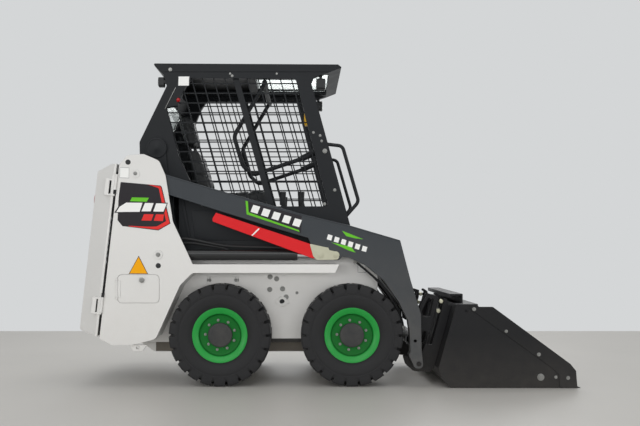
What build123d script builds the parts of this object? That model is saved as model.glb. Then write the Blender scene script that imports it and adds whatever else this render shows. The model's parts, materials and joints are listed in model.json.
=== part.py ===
from build123d import *
from math import cos, degrees, hypot, radians, sin, tan
import os

os.makedirs("parts", exist_ok=True)

# Frame: X forward to the bucket, Y to the machine's left, Z up from the ground.
# Outlines in side view are corners of (x, z, corner radius).

# Wheels
tyre_diameter = 590
tyre_width = 215
tyre_bore = 304
tyre_side_dish = 24
lug_count = 22
lug_depth = 40
lug_gap = 16
groove_cover = 6
rim_flange_radius = 160
rim_dish_radius = 123
rim_dish_depth = 33
hub_cap_radius = 71
hub_cap_height = 24
wheelbase = 762
rear_axle_x = -618
running_fit = 0.3

# Stations across the machine, measured from its middle
tub_y = 310
cab_y = 420
cab_wall = 40
inner_plate_y = 425
side_plate = 8
arm_inner_y = 444
arm_width = 78
arm_plate = 8
outer_plate_y = 530
bucket_half_width = 575
tilt_cylinder_y = 395

# Chassis
tub_bottom_z = 235
tub_top_z = 728
tub_front_x = 309
tub_front_top_z = 765
bay_half_width = 230
bay_wall = 12
belly_z = 165
belly_half_width = 200
fender_top_z = 705
fender_plate = 8
fender_lip = 50
fender_front_x = 70
axle_housing_radius = 75

# Tailgate, leaning forward at the top
door_lean = 6.545
door_edge_x = -1308
door_edge_z = 277
door_gap = 15
door_depth = 130
door_wall = 8
door_side_taper = 105

# Pivots in side view
arm_pivot = (-1101, 1226)
arm_pin_radius = 20
lift_base = (-969.5, 760)
lift_eye = (50, 758)
lift_pin_radius = 15
tilt_base = (215, 787)
tilt_eye = (575, 345)
tilt_pin_radius = 13
bucket_pin = (529, 131)
bucket_pin_radius = 14
prop_pin = (-38, 758)
prop_pin_radius = 10
cab_pivot = (-997, 1385)
cab_pin_radius = 22
seat_bar_pivot = (-366, 1780)

# Cylinders
lift_barrel_radius = 31
lift_barrel_length = 799
lift_rod_radius = 18
lift_rod_length = 850
tilt_barrel_radius = 29
tilt_barrel_length = 478
tilt_rod_radius = 15
tilt_rod_length = 472
tilt_retract = 61
eye_width = 40

tyre_outer_y = 540
tyre_inner_y = tyre_outer_y - tyre_width
tyre_mid_y = tyre_outer_y - tyre_width / 2
tyre_radius = tyre_diameter / 2
front_axle_x = rear_axle_x + wheelbase
axle_z = tyre_radius
arm_outer_y = arm_inner_y + arm_width
arm_mid_y = arm_inner_y + arm_width / 2
frame_outer_y = outer_plate_y + side_plate
inner_plate_outer_y = inner_plate_y + side_plate
cab_inner_y = cab_y - cab_wall
door_slope = tan(radians(door_lean))


def side(y):
    """Side-view plane at a distance y to the machine's right."""
    return Plane.XZ.offset(y)


def outline(corners, mode=Mode.ADD):
    """Add the face inside corners of (x, z, corner radius)."""
    with BuildLine(mode=Mode.PRIVATE) as border:
        FilletPolyline(
            *[(corner[0], corner[1]) for corner in corners],
            radius=[corner[2] for corner in corners],
            close=True,
        )
    make_face(border.edges(), mode=mode)


def door_edge(z):
    """X of the chassis' rear edge at height z."""
    return door_edge_x + (z - door_edge_z) * door_slope


def export_part(builder, name):
    builder.part.label = name
    export_step(builder.part, f"parts/{name}.step")


def export_pair(builder, name):
    """Write the right-hand piece and its mirror image."""
    export_part(builder, name + "_right")
    with BuildPart() as left:
        mirror(builder.part, about=Plane.XZ)
    export_part(left, name + "_left")


def both_sides(builder, name):
    """Write the right-hand piece and its mirror image as one node."""
    with BuildPart() as pair:
        add(builder.part)
        mirror(builder.part, about=Plane.XZ)
    export_part(pair, name)


# Tyre: two staggered rings of lugs on a dished carcass


def lug_points(axle_x, turn):
    """Corners of a toothed ring, one groove for each lug, a lug's corner at an angle turn."""
    pitch = 360 / lug_count
    floor_radius = tyre_radius - lug_depth
    floor_angle = degrees(lug_gap / 2 / floor_radius)
    edge_angle = degrees(lug_gap / 2 / tyre_radius)
    corners = []
    for lug in range(lug_count):
        start = turn - edge_angle + lug * pitch
        for radius, angle in (
            (floor_radius, start - floor_angle),
            (floor_radius, start + floor_angle),
            (tyre_radius, start + edge_angle),
            (tyre_radius, start + pitch - edge_angle),
        ):
            x = axle_x + radius * cos(radians(angle))
            z = axle_z + radius * sin(radians(angle))
            corners.append((x, z))
    return corners


def wheel_plane(axle_x):
    """Plane through a wheel's axis: first the radius, then the distance outwards."""
    return Plane(origin=(axle_x, 0, axle_z), x_dir=(0, 0, 1), z_dir=(1, 0, 0))


def wheel_axis(axle_x):
    return Axis((axle_x, 0, axle_z), (0, 1, 0))


for place, axle_x in (("rear", rear_axle_x), ("front", front_axle_x)):
    half_pitch = 180 / lug_count
    carcass_radius = tyre_radius - lug_depth - groove_cover
    with BuildPart() as tyre:
        with BuildSketch(wheel_plane(axle_x)):
            with BuildLine():
                Polyline(
                    (tyre_bore / 2, tyre_inner_y),
                    (carcass_radius, tyre_inner_y),
                    (carcass_radius, tyre_outer_y),
                    (tyre_bore / 2, tyre_outer_y - tyre_side_dish),
                    close=True,
                )
            make_face()
        revolve(axis=wheel_axis(axle_x))
        for inner_y, turn in ((tyre_mid_y, -90 - half_pitch), (tyre_inner_y, -90)):
            with BuildSketch(side(inner_y)):
                with BuildLine():
                    Polyline(*lug_points(axle_x, turn), close=True)
                make_face()
                with Locations((axle_x, axle_z)):
                    Circle(carcass_radius, mode=Mode.SUBTRACT)
            extrude(amount=tyre_width / 2)
    export_pair(tyre, f"tyre_{place}")

    rim_inner_y = tyre_inner_y + tyre_side_dish
    flange_y = tyre_outer_y - tyre_side_dish
    dish_y = flange_y + 6 - rim_dish_depth
    drum_radius = tyre_bore / 2 - running_fit
    with BuildPart() as rim:
        with BuildSketch(wheel_plane(axle_x)):
            with BuildLine():
                Polyline(
                    (0, rim_inner_y),
                    (drum_radius, rim_inner_y),
                    (drum_radius, flange_y + running_fit),
                    (rim_flange_radius, flange_y + 3),
                    (drum_radius - 2, flange_y + 6),
                    (rim_dish_radius, dish_y),
                    (hub_cap_radius, dish_y),
                    (hub_cap_radius, dish_y + hub_cap_height),
                    (0, dish_y + hub_cap_height),
                    close=True,
                )
            make_face()
        revolve(axis=wheel_axis(axle_x))
    export_pair(rim, f"rim_{place}")

with BuildPart() as axle_housings:
    for axle_x in (rear_axle_x, front_axle_x):
        with BuildSketch(side(tub_y)):
            with Locations((axle_x, axle_z)):
                Circle(axle_housing_radius)
        extrude(amount=rim_inner_y - running_fit - tub_y)
both_sides(axle_housings, "axle_housings")

# Lower frame: a trough between two chain cases, open at the rear for the battery bay
with BuildPart() as chassis_tub:
    with BuildSketch(side(-tub_y)):
        outline(
            [
                (door_edge(tub_top_z), tub_top_z, 0),
                (door_edge(300), 300, 0),
                (door_edge(300) + 65, tub_bottom_z, 0),
                (tub_front_x - 60, tub_bottom_z, 0),
                (tub_front_x, tub_bottom_z + 60, 0),
                (tub_front_x, tub_front_top_z, 12),
                (-165, tub_front_top_z, 0),
                (-165, tub_top_z, 0),
            ]
        )
    extrude(amount=2 * tub_y)
    with BuildSketch(side(-bay_half_width)):
        outline(
            [
                (door_edge_x - 50, tub_bottom_z + bay_wall, 0),
                (tub_front_x - 60, tub_bottom_z + bay_wall, 0),
                (tub_front_x - bay_wall, tub_bottom_z + 70, 0),
                (tub_front_x - bay_wall, tub_front_top_z + 50, 0),
                (door_edge_x - 50, tub_front_top_z + 50, 0),
            ]
        )
    extrude(amount=2 * bay_half_width, mode=Mode.SUBTRACT)
    with BuildSketch(side(-belly_half_width)):
        outline(
            [
                (-1150, tub_bottom_z, 0),
                (-1050, belly_z, 20),
                (200, belly_z, 20),
                (tub_front_x - 60, tub_bottom_z, 0),
            ]
        )
    extrude(amount=2 * belly_half_width)
export_part(chassis_tub, "chassis_tub")

battery_length = 470
battery_height = 420
battery_x = -930
with BuildPart() as battery_pack:
    with BuildSketch(Plane.XY.offset(tub_bottom_z + bay_wall)):
        with Locations((battery_x, 0)):
            RectangleRounded(battery_length, 2 * bay_half_width - 30, 15)
    extrude(amount=battery_height)
export_part(battery_pack, "battery_pack")

# Side frame: upright plates for the arm, side box behind the wheel, fender, lashing eye
eye_centre = (-1090, 224)
eye_plate = 20
lashing_bore = 10
hatch_x = (-1202, -965)
hatch_z = (484, 645)
hatch_corner = 24
hatch_gap = 2
hatch_ledge = 12
hatch_pocket = 110
hinge_pin_radius = 5
hatch_hinge_x = hatch_x[0] - 4
hatch_hinge_y = frame_outer_y + hinge_pin_radius + running_fit
hatch_hinge_z = (516, 611)
arch = [
    (-774, fender_top_z - fender_lip, 30),
    (-845, 585, 60),
    (-985, 275, 45),
    (-1125, 240, 30),
    (-1235, 240, 30),
    (door_edge_x, door_edge_z, 8),
]


def hatch_cut(margin, corner):
    width = hatch_x[1] - hatch_x[0] + 2 * margin
    height = hatch_z[1] - hatch_z[0] + 2 * margin
    with Locations(((hatch_x[0] + hatch_x[1]) / 2, (hatch_z[0] + hatch_z[1]) / 2)):
        RectangleRounded(width, height, corner)


with BuildPart() as side_frame:
    with BuildSketch(side(outer_plate_y)):
        outline(
            arch
            + [
                (door_edge(1280), 1280, 20),
                (-1147, 1332, 30),
                (-1053, 1338, 35),
                (-965, 1300, 40),
                (-928, 1215, 60),
                (-886, 950, 90),
                (-772, fender_top_z, 10),
                (fender_front_x, fender_top_z, 0),
                (fender_front_x - 24, fender_top_z - fender_lip, 0),
            ]
        )
    extrude(amount=side_plate)
    with BuildSketch(side(tub_y)):
        outline(arch + [(door_edge(fender_top_z), fender_top_z, 0), (-774, fender_top_z, 0)])
    extrude(amount=outer_plate_y - tub_y)
    with BuildSketch(side(tub_y)):
        outline(
            [
                (-800, fender_top_z, 0),
                (fender_front_x - 8, fender_top_z, 0),
                (fender_front_x - 12, fender_top_z - fender_plate, 0),
                (-800, fender_top_z - fender_plate, 0),
            ]
        )
    extrude(amount=outer_plate_y - tub_y)
    with BuildSketch(side(inner_plate_outer_y)):
        outline(
            [
                (door_edge(fender_top_z) + 24, fender_top_z, 0),
                (door_edge(1240) + 24, 1240, 0),
                (door_edge(1240) + 34, 1240, 0),
                (door_edge(fender_top_z) + 34, fender_top_z, 0),
            ]
        )
    extrude(amount=outer_plate_y - inner_plate_outer_y)
    with BuildSketch(side(outer_plate_y)):
        with Locations(arm_pivot):
            Circle(arm_pin_radius + running_fit)
        with Locations(lift_base):
            Circle(lift_pin_radius + running_fit)
    extrude(amount=side_plate, mode=Mode.SUBTRACT)
    with BuildSketch(side(outer_plate_y)):
        with Locations((-1143, 1291.5), (lift_base[0], 697)):
            Circle(13)
    extrude(amount=side_plate, mode=Mode.SUBTRACT)
    with BuildSketch(side(outer_plate_y - 30)):
        outline(
            [
                (eye_centre[0] - 52, 240, 0),
                (eye_centre[0] - 26, eye_centre[1] - 20, 14),
                (eye_centre[0] + 26, eye_centre[1] - 20, 14),
                (eye_centre[0] + 52, 240, 0),
            ]
        )
    extrude(amount=eye_plate)
    with BuildSketch(side(outer_plate_y - 30)):
        with Locations(eye_centre):
            Circle(lashing_bore)
    extrude(amount=eye_plate, mode=Mode.SUBTRACT)

with BuildPart() as left_frame:
    mirror(side_frame.part, about=Plane.XZ)
export_part(left_frame, "side_frame_left")

with BuildPart() as right_frame:
    add(side_frame.part)
    with BuildSketch(side(outer_plate_y)):
        hatch_cut(hatch_gap, hatch_corner + hatch_gap)
    extrude(amount=side_plate, mode=Mode.SUBTRACT)
    with BuildSketch(side(outer_plate_y - hatch_pocket)):
        hatch_cut(-hatch_ledge, hatch_corner - hatch_ledge)
    extrude(amount=hatch_pocket, mode=Mode.SUBTRACT)
    for z in (hatch_hinge_z[0] - 10, hatch_hinge_z[1] + running_fit):
        with BuildSketch(Plane.XY.offset(z)):
            with Locations((hatch_hinge_x, -hatch_hinge_y)):
                Circle(hinge_pin_radius)
            with Locations((hatch_hinge_x - 6, -frame_outer_y - 1)):
                Rectangle(12, 4)
        extrude(amount=10 - running_fit)
export_part(right_frame, "side_frame_right")

# Inner uprights, standing on the side boxes
with BuildPart() as inner_upright:
    with BuildSketch(side(inner_plate_y)):
        outline(
            [
                (door_edge(fender_top_z) + 10, fender_top_z, 0),
                (door_edge(1280) + 10, 1280, 20),
                (-1147, 1328, 30),
                (-1075, 1340, 40),
                (cab_pivot[0] - 46, cab_pivot[1] + 46, 44),
                (cab_pivot[0] + 46, cab_pivot[1] + 46, 44),
                (-928, 1215, 40),
                (-886, 950, 90),
                (-790, fender_top_z, 0),
            ]
        )
        with Locations(arm_pivot):
            Circle(arm_pin_radius + running_fit, mode=Mode.SUBTRACT)
        with Locations(lift_base):
            Circle(lift_pin_radius + running_fit, mode=Mode.SUBTRACT)
        with Locations(cab_pivot):
            Circle(cab_pin_radius + running_fit, mode=Mode.SUBTRACT)
    extrude(amount=side_plate)
both_sides(inner_upright, "inner_uprights")

# Pins that carry the arm, the lift cylinders and the cab
with BuildPart() as frame_pins:
    for centre, radius in ((arm_pivot, arm_pin_radius), (lift_base, lift_pin_radius)):
        with BuildSketch(side(inner_plate_y)):
            with Locations(centre):
                Circle(radius)
        extrude(amount=frame_outer_y - inner_plate_y)
        with BuildSketch(side(frame_outer_y)):
            with Locations(centre):
                Circle(radius + 6)
        extrude(amount=4)
    with BuildSketch(side(cab_inner_y)):
        with Locations(cab_pivot):
            Circle(cab_pin_radius)
    extrude(amount=inner_plate_outer_y - cab_inner_y)
    with BuildSketch(side(inner_plate_outer_y)):
        with Locations(cab_pivot):
            Circle(60)
    extrude(amount=5)
both_sides(frame_pins, "frame_pins")

# Charging hatch in each side box
with BuildPart() as charge_hatch:
    with BuildSketch(side(outer_plate_y + running_fit)):
        hatch_cut(0, hatch_corner)
    extrude(amount=side_plate - running_fit)
    with BuildSketch(Plane.XY.offset(hatch_hinge_z[0])):
        with Locations((hatch_hinge_x, -hatch_hinge_y)):
            Circle(hinge_pin_radius)
        with Locations((hatch_hinge_x + 10, -frame_outer_y - 1.5)):
            Rectangle(20, 3)
    extrude(amount=hatch_hinge_z[1] - hatch_hinge_z[0])
    with BuildSketch(side(frame_outer_y)):
        with Locations((-1062, 616)):
            Circle(14)
    extrude(amount=4)
export_part(charge_hatch, "charge_hatch")

with BuildPart() as charge_socket:
    with BuildSketch(side(outer_plate_y - hatch_pocket)):
        with Locations((-1083, 565)):
            Circle(45)
    extrude(amount=50)
    with BuildSketch(side(outer_plate_y - hatch_pocket + 20)):
        with Locations((-1083, 565)):
            Circle(36)
    extrude(amount=30, mode=Mode.SUBTRACT)
export_part(charge_socket, "charge_socket")

with BuildPart() as chain_case_covers:
    with BuildSketch(side(tub_y)):
        with Locations((-620, 600)):
            RectangleRounded(180, 44, 6)
    extrude(amount=5)
    with BuildSketch(side(tub_y)):
        with Locations((-264, 478)):
            Circle(30)
            Rectangle(84, 22)
            Circle(15, mode=Mode.SUBTRACT)
    extrude(amount=8)
    with BuildSketch(Plane.XY.offset(tub_front_top_z)):
        with Locations((95, -270)):
            Circle(28)
    extrude(amount=34)
both_sides(chain_case_covers, "chain_case_covers")

# Rear frame that the tailgate closes on, and the sheet over the battery bay
up = Vector(sin(radians(door_lean)), 0, cos(radians(door_lean)))
back = Vector(-cos(radians(door_lean)), 0, sin(radians(door_lean)))
door_plane = Plane(origin=(door_edge_x, 0, door_edge_z), x_dir=(0, -1, 0), z_dir=back)
plan_origin = Vector(door_edge_x, 0, door_edge_z) + back * door_gap
door_height = 975
door_half = outer_plate_y + 5
door_hinge = 90
door_hinge_out = 10
door_hinge_in = 8
door_hinge_radius = 8
door_hinge_heights = (150, 860)
frame_knuckle = 24
with BuildPart() as rear_frame:
    with BuildSketch(door_plane):
        with Locations((0, 20)):
            Rectangle(2 * 518, door_height - 30, align=(Align.CENTER, Align.MIN))
            Rectangle(
                2 * bay_half_width,
                door_height - 110,
                align=(Align.CENTER, Align.MIN),
                mode=Mode.SUBTRACT,
            )
    extrude(amount=door_gap - running_fit)
    for height in (
        door_hinge_heights[0] + door_hinge + running_fit,
        door_hinge_heights[1] - frame_knuckle - running_fit,
    ):
        with BuildSketch(Plane(origin=plan_origin + up * height, x_dir=(0, -1, 0), z_dir=up)):
            with Locations((door_half + door_hinge_out, door_hinge_in)):
                Circle(door_hinge_radius)
            with Locations((door_half - 7, door_hinge_in)):
                Rectangle(30, 8)
        extrude(amount=frame_knuckle)
export_part(rear_frame, "rear_frame")

with BuildPart() as bay_cover:
    with BuildSketch(side(-inner_plate_y + running_fit)):
        outline(
            [
                (door_edge(1262) + 4, 1262, 0),
                (-1190, 1292, 4),
                (-1112, 1322, 8),
                (-1112, 1240, 4),
                (-985, 1240, 10),
                (-897, 1128, 10),
                (-897, tub_top_z, 0),
                (-905, tub_top_z, 0),
                (-905, 1125, 8),
                (-989, 1232, 8),
                (-1120, 1232, 4),
                (-1120, 1310, 4),
                (-1188, 1284, 4),
                (door_edge(1256) + 4, 1256, 0),
            ]
        )
    extrude(amount=2 * inner_plate_y - 2 * running_fit)
export_part(bay_cover, "bay_cover")

# Tailgate: a deep pressed door with tapered sides, louvres and two lamps
plan_plane = Plane(origin=plan_origin, x_dir=(0, -1, 0), z_dir=up)


def door_plan(half, depth, taper):
    """Add the tailgate's plan, its sides tapering in towards the rear face."""
    with BuildLine(mode=Mode.PRIVATE) as border:
        Polyline(
            (-half, 0),
            (-half, -12),
            (-half + taper, -depth),
            (half - taper, -depth),
            (half, -12),
            (half, 0),
            close=True,
        )
    make_face(border.edges())


with BuildPart() as tailgate:
    with BuildSketch(plan_plane.offset(-60)):
        door_plan(door_half, door_depth, door_side_taper)
    extrude(amount=door_height + 120)
    with BuildSketch(side(-door_half - 10)):
        outline(
            [
                (-1600, 100, 0),
                (-1100, 100, 0),
                (-1100, 289, 0),
                (-1315, 289, 0),
                (-1437, 318, 0),
                (-1480, 360, 0),
                (-1480, 1200, 0),
                (-1349, 1245, 0),
                (-1241, 1283, 0),
                (-1100, 1283, 0),
                (-1100, 1500, 0),
                (-1600, 1500, 0),
            ]
        )
    extrude(amount=2 * door_half + 20, mode=Mode.SUBTRACT)
    with BuildSketch(plan_plane.offset(50)):
        door_plan(door_half - door_wall - 4, door_depth - door_wall, door_side_taper)
    extrude(amount=door_height - 120, mode=Mode.SUBTRACT)
    louvre_plane = Plane(origin=plan_origin, x_dir=(0, -1, 0), z_dir=back)
    with BuildSketch(louvre_plane):
        with Locations((0, 560)):
            with GridLocations(0, 40, 1, 8):
                SlotOverall(520, 18)
    extrude(amount=door_depth + 10, mode=Mode.SUBTRACT)
    for height in door_hinge_heights:
        with BuildSketch(Plane(origin=plan_origin + up * height, x_dir=(0, -1, 0), z_dir=up)):
            with Locations((door_half + door_hinge_out, door_hinge_in)):
                Circle(door_hinge_radius)
            with Locations((door_half + 2, -5)):
                Rectangle(10, 24)
        extrude(amount=door_hinge)
export_part(tailgate, "tailgate")

with BuildPart() as tail_lamps:
    with BuildSketch(Plane(origin=plan_origin + back * door_depth, x_dir=(0, -1, 0), z_dir=back)):
        with Locations((-350, 800), (350, 800)):
            Circle(42)
    extrude(amount=12)
export_part(tail_lamps, "tail_lamps")

# Cab: two thick side walls with their windows cut, roof, rear wall and folded floor
cab_bottom_z = 736
cab_foot_z = 803
cab_front_x = 172
roof_z = 1833
roof_depth = 51
roof_top_z = roof_z + roof_depth
window = [
    (-181, 1794, 6),
    (-797, 1798, 6),
    (-836, 1738, 0),
    (-876, 1636, 4),
    (-942, 1625, 4),
    (-872, 1343, 0),
    (-802, 1193, 0),
    (-735, 1044, 10),
    (11, 1044, 10),
]
cab_rear_line = [(-958, 1816), (-940, 1751), (-1100, 1422), (-1098, 1345)]
with BuildPart() as cab_side:
    with BuildSketch(side(cab_inner_y)):
        outline(
            [
                (-975, roof_z, 0),
                (*cab_rear_line[0], 0),
                (*cab_rear_line[1], 0),
                (*cab_rear_line[2], 30),
                (*cab_rear_line[3], 20),
                (-1000, 1262, 30),
                (-868, 1130, 30),
                (-868, cab_bottom_z, 0),
                (-165, cab_bottom_z, 0),
                (-150, cab_foot_z, 0),
                (cab_front_x, cab_foot_z, 8),
                (138, 936, 0),
                (27, 1344, 0),
                (-90, 1768, 20),
                (-75, 1802, 0),
                (20, roof_z, 0),
            ]
        )
        outline(window, mode=Mode.SUBTRACT)
        with Locations(cab_pivot):
            Circle(cab_pin_radius + running_fit, mode=Mode.SUBTRACT)
    extrude(amount=cab_wall)
export_pair(cab_side, "cab_side")

roof_window_x = (-430, 15)
roof_window_y = 330
with BuildPart() as cab_roof:
    with BuildSketch(side(-cab_y)):
        outline(
            [
                (-1018, roof_top_z, 6),
                (-1010, roof_top_z - 16, 4),
                (-975, roof_z, 0),
                (20, roof_z, 0),
                (76, roof_top_z - 29, 0),
                (90, roof_top_z - 24, 3),
                (68, roof_top_z - 6, 6),
            ]
        )
    extrude(amount=2 * cab_y)
    with BuildSketch(Plane.XY.offset(roof_z)):
        with Locations(((roof_window_x[0] + roof_window_x[1]) / 2, 0)):
            Rectangle(roof_window_x[1] - roof_window_x[0], 2 * roof_window_y)
    extrude(amount=80, mode=Mode.SUBTRACT)
    with BuildSketch(Plane.XY.offset(roof_z)):
        with Locations((-705, 0)):
            Rectangle(440, 2 * cab_inner_y - 20)
    extrude(amount=36, mode=Mode.SUBTRACT)
export_part(cab_roof, "cab_roof")

rear_wall_thickness = 30
with BuildPart() as cab_rear_wall:
    with BuildSketch(side(-cab_inner_y)):
        with BuildLine():
            Polyline(
                (-960, roof_z),
                (-940, 1751),
                (-1100, 1422),
                (-1098, 1345),
                (-1068, 1345),
                (-1069, 1430),
                (-908, 1758),
                (-928, roof_z),
                close=True,
            )
        make_face()
    extrude(amount=2 * cab_inner_y)
    slope = Vector(-940 + 1100, 0, 1751 - 1422).normalized()
    rear_window_plane = Plane(
        origin=(-1020, 0, 1586.5), x_dir=(0, -1, 0), z_dir=(-slope.Z, 0, slope.X)
    )
    with BuildSketch(rear_window_plane.offset(-80)):
        RectangleRounded(600, 250, 30)
    extrude(amount=160, mode=Mode.SUBTRACT)
export_part(cab_rear_wall, "cab_rear_wall")

glass = 6
with BuildPart() as cab_glass:
    with BuildSketch(rear_window_plane.offset(-rear_wall_thickness / 2)):
        RectangleRounded(600 - 0.4, 250 - 0.4, 30)
    extrude(amount=glass)
    with BuildSketch(Plane.XY.offset(roof_top_z - 26)):
        with Locations(((roof_window_x[0] + roof_window_x[1]) / 2, 0)):
            Rectangle(roof_window_x[1] - roof_window_x[0] - 0.4, 2 * roof_window_y - 0.4)
    extrude(amount=glass)
export_part(cab_glass, "cab_glass")

seat_pan_z = 1040
floor_z = 812
floor_sheet = 8
with BuildPart() as cab_floor:
    with BuildSketch(side(-cab_inner_y)):
        with BuildLine():
            Polyline(
                (-1068, 1345),
                (-985, 1268),
                (-845, 1128),
                (-845, seat_pan_z),
                (-338, seat_pan_z),
                (-338, floor_z - floor_sheet),
                (150, floor_z - floor_sheet),
                (150, 860),
                (142, 860),
                (142, floor_z),
                (-330, floor_z),
                (-330, seat_pan_z + floor_sheet),
                (-837, seat_pan_z + floor_sheet),
                (-837, 1132),
                (-980, 1277),
                (-1056, 1345),
                close=True,
            )
        make_face()
    extrude(amount=2 * cab_inner_y)
export_part(cab_floor, "cab_floor")

# Window guards: flat bars in two layers, cut to the window
guard_pitch_z = 57.6
guard_pitch_x = 63
guard_bar = 7
guard_lean = 15.5
guard_layer = 3
guard_stiffener = 36
guard_y = 398
with BuildPart() as window_guard:
    with BuildSketch(side(guard_y)):
        with Locations((-465, 1044 + guard_pitch_z * 6.6)):
            with GridLocations(0, guard_pitch_z, 1, 13):
                Rectangle(1200, guard_bar)
        outline(window, mode=Mode.INTERSECT)
    extrude(amount=guard_layer)
    with BuildSketch(side(guard_y + guard_layer + running_fit)):
        with Locations(Location((-430, 1420, 0), (0, 0, guard_lean))):
            with GridLocations(guard_pitch_x, 0, 19, 1):
                Rectangle(guard_bar, 1200)
            Rectangle(guard_stiffener, 1200)
        outline(window, mode=Mode.INTERSECT)
    extrude(amount=guard_layer)
both_sides(window_guard, "window_guards")

# Seat
with BuildPart() as seat_cushion:
    with BuildSketch(side(-225)):
        outline(
            [
                (-700, seat_pan_z + floor_sheet + running_fit, 10),
                (-345, seat_pan_z + floor_sheet + running_fit, 10),
                (-340, 1160, 30),
                (-700, 1140, 30),
            ]
        )
    extrude(amount=450)
export_part(seat_cushion, "seat_cushion")

with BuildPart() as seat_back:
    with BuildSketch(side(-220)):
        outline(
            [
                (-702, 1150, 20),
                (-790, 1424, 25),
                (-868, 1400, 25),
                (-800, 1150, 20),
            ]
        )
    extrude(amount=440)
    with BuildSketch(side(-150)):
        outline(
            [
                (-788, 1424.5, 20),
                (-850, 1645, 25),
                (-922, 1630, 25),
                (-866, 1424.5, 20),
            ]
        )
    extrude(amount=300)
    with BuildSketch(side(-60)):
        with Locations((-828, 1414)):
            Rectangle(30, 40)
    extrude(amount=120)
    with BuildSketch(side(-90)):
        outline(
            [
                (-800, seat_pan_z + floor_sheet, 0),
                (-715, seat_pan_z + floor_sheet, 0),
                (-720, 1170, 0),
                (-790, 1170, 0),
            ]
        )
    extrude(amount=180)
export_part(seat_back, "seat_back")

# Steering levers on the floor ahead of the seat
with BuildPart() as control_levers:
    for reach in (-150, -262):
        with BuildLine() as stalk:
            FilletPolyline(
                (reach - 30, -250, floor_z),
                (reach - 30, -250, floor_z + 120),
                (reach, -250, 1060),
                (reach, -250, 1075),
                radius=12,
            )
        with BuildSketch(Plane(stalk.line @ 0, z_dir=stalk.line % 0)):
            Circle(9)
        sweep(path=stalk.line)
        with BuildSketch(Plane.XY.offset(1060)):
            with Locations((reach, -250)):
                Circle(17)
        extrude(amount=80, taper=-3)
both_sides(control_levers, "control_levers")

# Seat bar: two bent arms with grips, hung from a tube under the roof
bar_radius = 12.5
bar_y = 352
with BuildPart() as seat_bar:
    with BuildLine() as bar_path:
        FilletPolyline(
            (seat_bar_pivot[0], -bar_y, seat_bar_pivot[1]),
            (-550, -bar_y, 1466),
            (-497, -bar_y, 1290),
            (-437, -bar_y, 1233),
            (-157, -bar_y, 1327),
            (-79, -bar_y, 1362),
            radius=[60, 60, 45, 40],
        )
    with BuildSketch(Plane(bar_path.line @ 0, z_dir=bar_path.line % 0)):
        Circle(bar_radius)
    sweep(path=bar_path.line)
    with BuildSketch(side(0)):
        with Locations(seat_bar_pivot):
            Circle(16)
    extrude(amount=cab_inner_y - running_fit)
    grip_plane = Plane(bar_path.line @ 1, z_dir=bar_path.line % 1)
    with BuildSketch(grip_plane.offset(-75)):
        Circle(19)
    extrude(amount=90)
    mirror(about=Plane.XZ)
export_part(seat_bar, "seat_bar")

# Grab handles on the front posts
with BuildPart() as grab_handles:
    with BuildLine() as handle_path:
        FilletPolyline(
            (0, -400, 1412),
            (94, -400, 1401),
            (190, -400, 1072),
            (100, -400, 970),
            radius=[35, 40],
        )
    with BuildSketch(Plane(handle_path.line @ 0, z_dir=handle_path.line % 0)):
        Circle(10.5)
    sweep(path=handle_path.line)
    add(cab_side.part, mode=Mode.SUBTRACT)
with BuildPart() as grab_handle:
    add(grab_handles.solids().sort_by(Axis.X)[-1])
both_sides(grab_handle, "grab_handles")

# Work lamps on the cab's corners
lamp_y = 385
rear_lamp_x = -958 - running_fit
with BuildPart() as lamp_bracket:
    with BuildSketch(side(lamp_y)):
        with Locations((-34, 1812)):
            Rectangle(18, 36)
    extrude(amount=14)
    with BuildSketch(Plane.YZ.offset(rear_lamp_x)):
        with Locations((-lamp_y - 12, 1779)):
            Rectangle(30, 18)
    extrude(amount=30)
    add(cab_side.part, mode=Mode.SUBTRACT)
with BuildPart() as work_lamps:
    with BuildSketch(Plane.YZ.offset(-60)):
        with Locations((-lamp_y, 1767)):
            RectangleRounded(62, 62, 12)
    extrude(amount=52)
    add(lamp_bracket.part)
    with BuildSketch(Plane.YZ.offset(rear_lamp_x)):
        with Locations((-lamp_y, 1779)):
            RectangleRounded(60, 54, 12)
    extrude(amount=-32)
both_sides(work_lamps, "work_lamps")

with BuildPart() as cab_fittings:
    with BuildSketch(side(cab_inner_y - 45)):
        with Locations((-112, 1565)):
            RectangleRounded(40, 80, 6)
    extrude(amount=45)
export_part(cab_fittings, "cab_fittings")

# Lift arm: box beam, knee and leg, with a fork under the knee for the lift rod
arm_end_z = 195
fork_top_z = 806
arm_boss_radius = 58
arm_outline = [
    (arm_pivot[0], arm_pivot[1] + arm_boss_radius, 0),
    (-1050, arm_pivot[1] + arm_boss_radius, 50),
    (-925, 1221, 40),
    (-686, 1149, 0),
    (-330, 1047, 0),
    (-144, 994, 0),
    (128, 929, 0),
    (421, 843, 8),
    (482, 610, 0),
    (541, 415, 40),
    (544, 216, 0),
    (556, 104, 24),
    (507, 104, 22),
    (468, 189, 20),
    (481, 199, 6),
    (476, 315, 0),
    (466, 380, 30),
    (413, 488, 0),
    (328, 612, 60),
    (225, 697, 60),
    (132, 742, 30),
    (84, 750, 6),
    (78, 728, 26),
    (22, 728, 26),
    (18, 780, 10),
    (-95, 824, 6),
    (-110, 860, 0),
    (-330, 925, 0),
    (-629, 1018, 0),
    (-909, 1108, 40),
    (-1075, arm_pivot[1] - arm_boss_radius, 20),
    (arm_pivot[0], arm_pivot[1] - arm_boss_radius, 0),
]
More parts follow.
